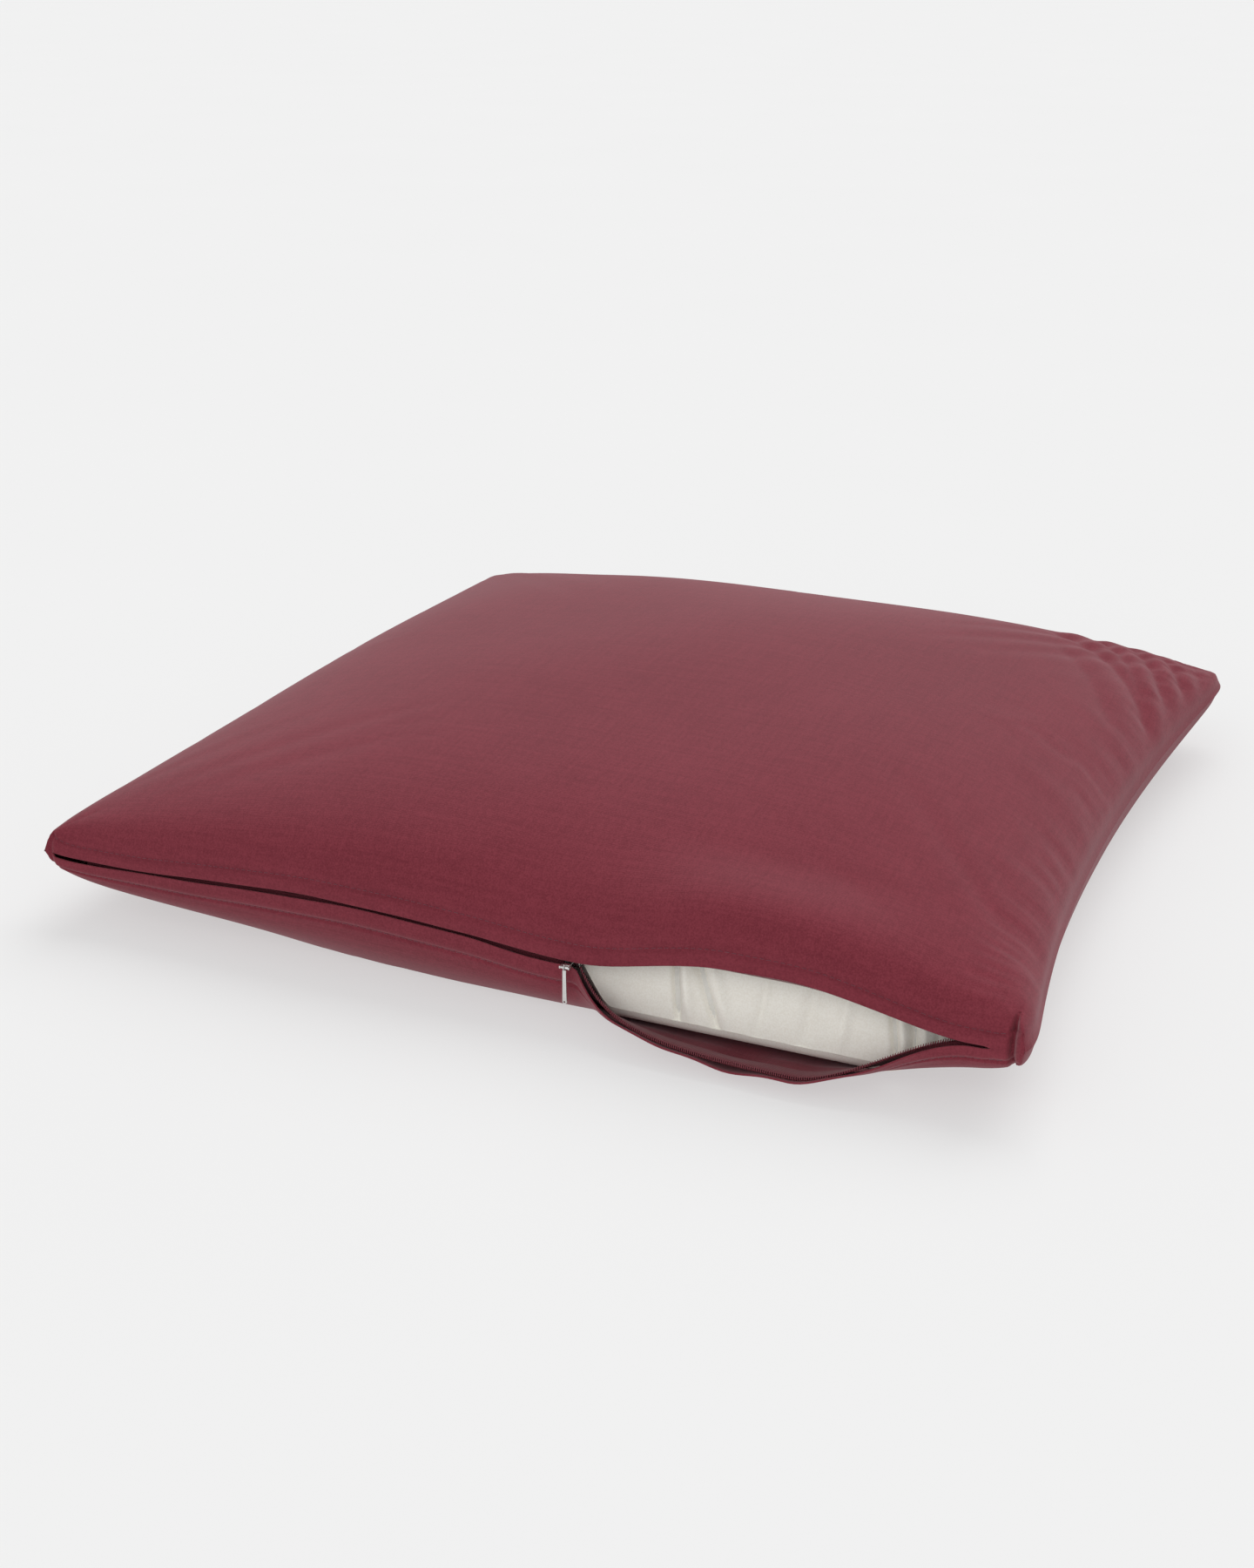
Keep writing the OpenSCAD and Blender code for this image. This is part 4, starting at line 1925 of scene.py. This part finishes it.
    def build(self) -> list[bpy.types.Object]:
        """Builds both sides of the zip, closed and open.

        Returns:
            The pieces.
        """
        m = self.m
        shut = (self.left_end, m.slider_x - 5.5 * MM)
        open_run = (m.slider_x + 5.8 * MM, m.mouth_right)
        made = []
        for upper in (True, False):
            side = "upper" if upper else "lower"
            for state, (x0, x1) in (("closed", shut), ("open", open_run)):
                for kind, make in (("coil", self._coil), ("tape", self._tape)):
                    piece = make(f"{kind}_{side}_{state}", x0, x1, upper)
                    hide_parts(f"zip_{kind}_{side}_{state}")
                    if state == "open" and not upper:
                        LipBody(m).bend(piece)
                    else:
                        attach(piece, "cushion")
                    made.append(piece)
        return made + self._stops()

    def _stops(self) -> list[bpy.types.Object]:
        """Crimped metal stops at both ends of the chain.

        Returns:
            The three stops.
        """
        made = []
        z = self.m.seam_z
        size_low = (2.6 * MM, 3.2 * MM, 5.2 * MM)
        low = Hardware.block("bottom_stop", (self.left_end - 2.2 * MM, self.m.chain_y, z), size_low)
        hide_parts("zip_bottom_stop")
        x = self.m.mouth_right + 1.8 * MM
        tops = []
        for name, s in (("top_stop_upper", 1.8 * MM), ("top_stop_lower", -1.8 * MM)):
            size = (2.6 * MM, 3.0 * MM, 2.3 * MM)
            tops.append(Hardware.block(name, (x, self.m.chain_y, z + s), size))
        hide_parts("zip_top_stops")
        for piece in (low, *tops):
            self.wardrobe.dress(piece, Finish.METAL)
            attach(piece, "cushion")
            made.append(piece)
        return made


# ---------------------------------------------------------------- slider and pull


class Hardware:
    """Small metal shapes made with modelling operators."""

    @staticmethod
    def block(
        name: str, centre: Sequence, size: Sequence, bevel: float = 0.35 * MM
    ) -> bpy.types.Object:
        """A rounded block.

        Args:
            name: name of the piece.
            centre: its middle.
            size: its size on each axis.
            bevel: radius of its edges.

        Returns:
            The mesh object.
        """
        bpy.ops.object.select_all(action="DESELECT")
        bpy.ops.mesh.primitive_cube_add(size=1, location=centre)
        piece = bpy.context.object
        piece.name = name
        piece.scale = size
        bpy.ops.object.transform_apply(location=True, rotation=True, scale=True)
        bpy.ops.object.mode_set(mode="EDIT")
        bpy.ops.mesh.select_all(action="SELECT")
        bpy.ops.mesh.bevel(offset=bevel, segments=3, affect="EDGES")
        bpy.ops.object.mode_set(mode="OBJECT")
        bpy.ops.object.shade_smooth_by_angle(angle=math.radians(40))
        return piece

    @staticmethod
    def rod(name: str, centre: Sequence, radius: float, length: float) -> bpy.types.Object:
        """A round bar along X with rounded ends.

        Args:
            name: name of the piece.
            centre: its middle.
            radius: its radius.
            length: its length.

        Returns:
            The mesh object.
        """
        bpy.ops.object.select_all(action="DESELECT")
        bpy.ops.mesh.primitive_cylinder_add(
            vertices=28, radius=radius, depth=length, location=centre, rotation=(0, math.pi / 2, 0)
        )
        piece = bpy.context.object
        piece.name = name
        bpy.ops.object.transform_apply(location=True, rotation=True, scale=True)
        edge = piece.modifiers.new("edge", "BEVEL")
        edge.width = radius * 0.3
        edge.segments = 2
        edge.limit_method = "ANGLE"
        bpy.ops.object.modifier_apply(modifier="edge")
        bpy.ops.object.shade_smooth_by_angle(angle=math.radians(40))
        return piece

    @staticmethod
    def join(name: str, pieces: Sequence[bpy.types.Object]) -> bpy.types.Object:
        """Joins several shapes into one piece.

        Args:
            name: name of the joined piece.
            pieces: the shapes.

        Returns:
            The joined piece.
        """
        bpy.ops.object.select_all(action="DESELECT")
        for piece in pieces:
            piece.select_set(True)
        bpy.context.view_layer.objects.active = pieces[0]
        bpy.ops.object.join()
        pieces[0].name = name
        return pieces[0]


@dataclass
class SliderAndPull:
    """Slider on the chain, bridge outside the slit and the long thin pull.

    Args:
        m: places read from the frame.
        wardrobe: the finishes.
        length: length of the slider along the zip.
        tall: height of the slider's plates.
        pull_width: width of the pull at its foot.
        pull_top_width: width of the pull below its eye.
        pull_thick: thickness of the pull.
    """

    m: Measures
    wardrobe: Wardrobe
    length: float = 11 * MM
    tall: float = 8 * MM
    pull_width: float = 3 * MM
    pull_top_width: float = 2.4 * MM
    pull_thick: float = 1.2 * MM

    def build(self) -> list[bpy.types.Object]:
        """Builds slider, bridge and pull.

        Returns:
            The pieces.
        """
        body, bridge, pull = self._body(), self._bridge(), self._pull()
        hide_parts("zip_slider_body")
        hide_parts("zip_slider_bridge")
        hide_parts("zip_pull")
        for piece in (body, bridge, pull):
            self.wardrobe.dress(piece, Finish.METAL)
        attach(body, "slider")
        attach(bridge, "slider")
        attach(pull, "pull")
        return [body, bridge, pull]

    def _body(self) -> bpy.types.Object:
        """Two flanged plates round the chain, a wedge post and a neck.

        Returns:
            The slider.
        """
        x, y, z = self.m.slider_x, self.m.chain_y, self.m.seam_z
        parts = []
        for s in (-1, 1):
            centre = (x, y + s * 2 * MM, z)
            size = (self.length, 1.2 * MM, self.tall)
            parts.append(Hardware.block("plate", centre, size, 0.5 * MM))
            for r in (-1, 1):
                centre = (x, y + s * 1.2 * MM, z + r * (self.tall / 2 - 0.4 * MM))
                size = (self.length * 0.96, 1.0 * MM, 0.8 * MM)
                parts.append(Hardware.block("flange", centre, size, 0.2 * MM))
        parts.append(Hardware.block("post", (x + 3 * MM, y, z), (3 * MM, 3.2 * MM, 1.8 * MM)))
        middle = (self.m.bar_y + 2.6 * MM + y - 2 * MM) / 2
        deep = y - 2 * MM - (self.m.bar_y + 2.6 * MM)
        parts.append(Hardware.block("neck", (x, middle, z), (4.6 * MM, deep, 1.0 * MM), 0.2 * MM))
        return Hardware.join("slider_body", parts)

    def _bridge(self) -> bpy.types.Object:
        """Bar between two posts that carries the pull.

        Returns:
            The bridge.
        """
        x, y, z = self.m.slider_x, self.m.bar_y, self.m.seam_z
        parts = [Hardware.rod("bar", (x, y, z), 0.8 * MM, 7 * MM)]
        for s in (-1, 1):
            centre = (x + s * 3 * MM, y + 0.9 * MM, z)
            parts.append(Hardware.block("post", centre, (1 * MM, 3.4 * MM, 1.8 * MM), 0.25 * MM))
        return Hardware.join("slider_bridge", parts)

    def _pull(self) -> bpy.types.Object:
        """Eye round the bar and a slim tapering strap with a rounded, pierced foot.

        Returns:
            The pull.
        """
        x, y, z = self.m.slider_x, self.m.bar_y, self.m.seam_z
        reach = z - self.m.pull_low - self.pull_width / 2
        bpy.ops.object.select_all(action="DESELECT")
        bpy.ops.mesh.primitive_torus_add(
            location=(x, y, z),
            rotation=(0, math.pi / 2, 0),
            major_radius=1.6 * MM,
            minor_radius=0.42 * MM,
            major_segments=28,
            minor_segments=10,
        )
        eye = bpy.context.object
        bpy.ops.object.transform_apply(location=True, rotation=True, scale=True)
        strap = self._strap(x, y, z, reach)
        return Hardware.join("zip_pull_tab", [strap, eye])

    def _strap(self, x: float, y: float, z: float, reach: float) -> bpy.types.Object:
        """Half disc whose cut face is drawn up into a tapering strap, bevelled and pierced.

        Args:
            x: place along the zip.
            y: depth of the bar.
            z: height of the bar.
            reach: from the bar down to the middle of the foot.

        Returns:
            The strap.
        """
        foot, top = z - reach, z - 1.7 * MM
        bpy.ops.object.select_all(action="DESELECT")
        bpy.ops.mesh.primitive_cylinder_add(
            vertices=24,
            radius=self.pull_width / 2,
            depth=self.pull_thick,
            location=(x, y, foot),
            rotation=(math.pi / 2, 0, 0),
        )
        piece = bpy.context.object
        piece.name = "strap"
        bpy.ops.object.transform_apply(location=True, rotation=True, scale=True)
        bpy.ops.object.mode_set(mode="EDIT")
        bpy.ops.mesh.select_all(action="SELECT")
        bpy.ops.mesh.bisect(
            plane_co=(x, y, foot), plane_no=(0, 0, 1), use_fill=True, clear_outer=True, threshold=1e-6
        )
        bpy.ops.mesh.extrude_region_move(TRANSFORM_OT_translate={"value": (0, 0, top - foot)})
        taper = self.pull_top_width / self.pull_width
        bpy.ops.transform.resize(value=(taper, 1, 1), center_override=(x, y, top))
        bpy.ops.object.mode_set(mode="OBJECT")
        edge = piece.modifiers.new("edge", "BEVEL")
        edge.width = 0.25 * MM
        edge.segments = 2
        edge.limit_method = "ANGLE"
        bpy.ops.object.modifier_apply(modifier="edge")
        self._pierce(piece, (x, y, foot))
        bpy.ops.object.shade_smooth_by_angle(angle=math.radians(40))
        return piece

    @staticmethod
    def _pierce(piece: bpy.types.Object, centre: Sequence) -> None:
        """Cuts the round hole in the foot.

        Args:
            piece: the strap.
            centre: middle of the hole.
        """
        bpy.ops.object.select_all(action="DESELECT")
        bpy.ops.mesh.primitive_cylinder_add(
            vertices=24, radius=0.6 * MM, depth=6 * MM, location=centre, rotation=(math.pi / 2, 0, 0)
        )
        cutter = bpy.context.object
        bpy.ops.object.select_all(action="DESELECT")
        piece.select_set(True)
        bpy.context.view_layer.objects.active = piece
        cut = piece.modifiers.new("hole", "BOOLEAN")
        cut.object = cutter
        bpy.ops.object.modifier_apply(modifier="hole")
        bpy.data.objects.remove(cutter, do_unlink=True)


# ---------------------------------------------------------------- studio


@dataclass
class Studio:
    """Pale floor, soft lights and the camera.

    Args:
        yaw: how far the camera is turned, in degrees.
        pitch: how far it looks down, in degrees.
        place: where it stands.
        lens: its focal length in millimetres.
    """

    yaw: float = 23.63
    pitch: float = 22.18
    place: tuple = (0.54744, -1.37451, 0.63523)
    lens: float = 31.84

    def build(self) -> None:
        """Builds floor, lights, world and camera."""
        self._floor()
        self._sun("key", (0.2, 1.45, 1.8), 52, 1.65)
        self._sun("fill", (-0.1, -1.7, 1.0), 60, 0.75)
        world = bpy.data.worlds.new("studio")
        world.use_nodes = True
        sky = world.node_tree.nodes["Background"]
        sky.inputs["Color"].default_value = (0.888, 0.888, 0.888, 1)
        sky.inputs["Strength"].default_value = 0.62
        bpy.context.scene.world = world
        bpy.context.scene.view_settings.view_transform = "Standard"
        self._camera()

    def _floor(self) -> None:
        """A large pale floor."""
        bpy.ops.object.select_all(action="DESELECT")
        bpy.ops.mesh.primitive_plane_add(size=240, location=(0, 0, 0))
        floor = bpy.context.object
        floor.name = "studio_floor"
        paint = Paint("studio_floor")
        mist = paint.noise((2, 2, 2), 2.0)
        colour = paint.blend(mist, (0.335, 0.335, 0.335), (0.345, 0.345, 0.345))
        values = {
            "Roughness": 0.9,
            "Specular IOR Level": 0.0,
            "Emission Color": (1.0, 1.0, 1.0, 1.0),
            "Emission Strength": 0.513,
        }
        floor.data.materials.append(paint.finish({"Base Color": colour}, values))

    @staticmethod
    def _sun(name: str, source: Sequence, spread: float, strength: float) -> None:
        """A broad, soft light from far off.

        Args:
            name: name of the light.
            source: direction the light comes from.
            spread: how wide it looks, in degrees.
            strength: how strong it is.
        """
        data = bpy.data.lights.new(name, "SUN")
        data.angle = math.radians(spread)
        data.energy = strength
        light = bpy.data.objects.new(name, data)
        bpy.context.scene.collection.objects.link(light)
        light.location = Vector(source)
        light.rotation_euler = (-Vector(source)).to_track_quat("-Z", "Y").to_euler()

    def _camera(self) -> None:
        """The camera, seen from the front right, a little above."""
        data = bpy.data.cameras.new("camera")
        data.sensor_fit = "VERTICAL"
        data.sensor_height = 24
        data.lens = self.lens
        data.clip_end = 400
        camera = bpy.data.objects.new("camera", data)
        bpy.context.scene.collection.objects.link(camera)
        camera.location = self.place
        camera.rotation_euler = (math.radians(90 - self.pitch), 0, math.radians(self.yaw))
        bpy.context.scene.camera = camera


def report(group: str, pieces: Sequence[bpy.types.Object]) -> None:
    """Logs each piece of a group with its face count."""
    for piece in pieces:
        LOG.info("%s: %s, %d faces", group, piece.name, len(piece.data.polygons))


def main() -> None:
    """Builds the cushion's looks on the CAD frame."""
    logging.basicConfig(level=logging.INFO, format="%(message)s")
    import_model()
    measures = Measures.from_frame()
    form = CushionForm(measures)
    wardrobe = Wardrobe()
    cover = Cover(form, wardrobe)
    crumple = Crumple(form)
    cover = Cover(form, wardrobe, moved=crumple.onto(crumple.run(), cover.u, cover.v))
    report("cover", cover.build())
    report("inner cushion", InnerCushion(form, wardrobe).build())
    report("zip", ConcealedZip(cover, wardrobe).build())
    report("slider", SliderAndPull(measures, wardrobe).build())
    Studio().build()


if __name__ == "__main__":
    main()
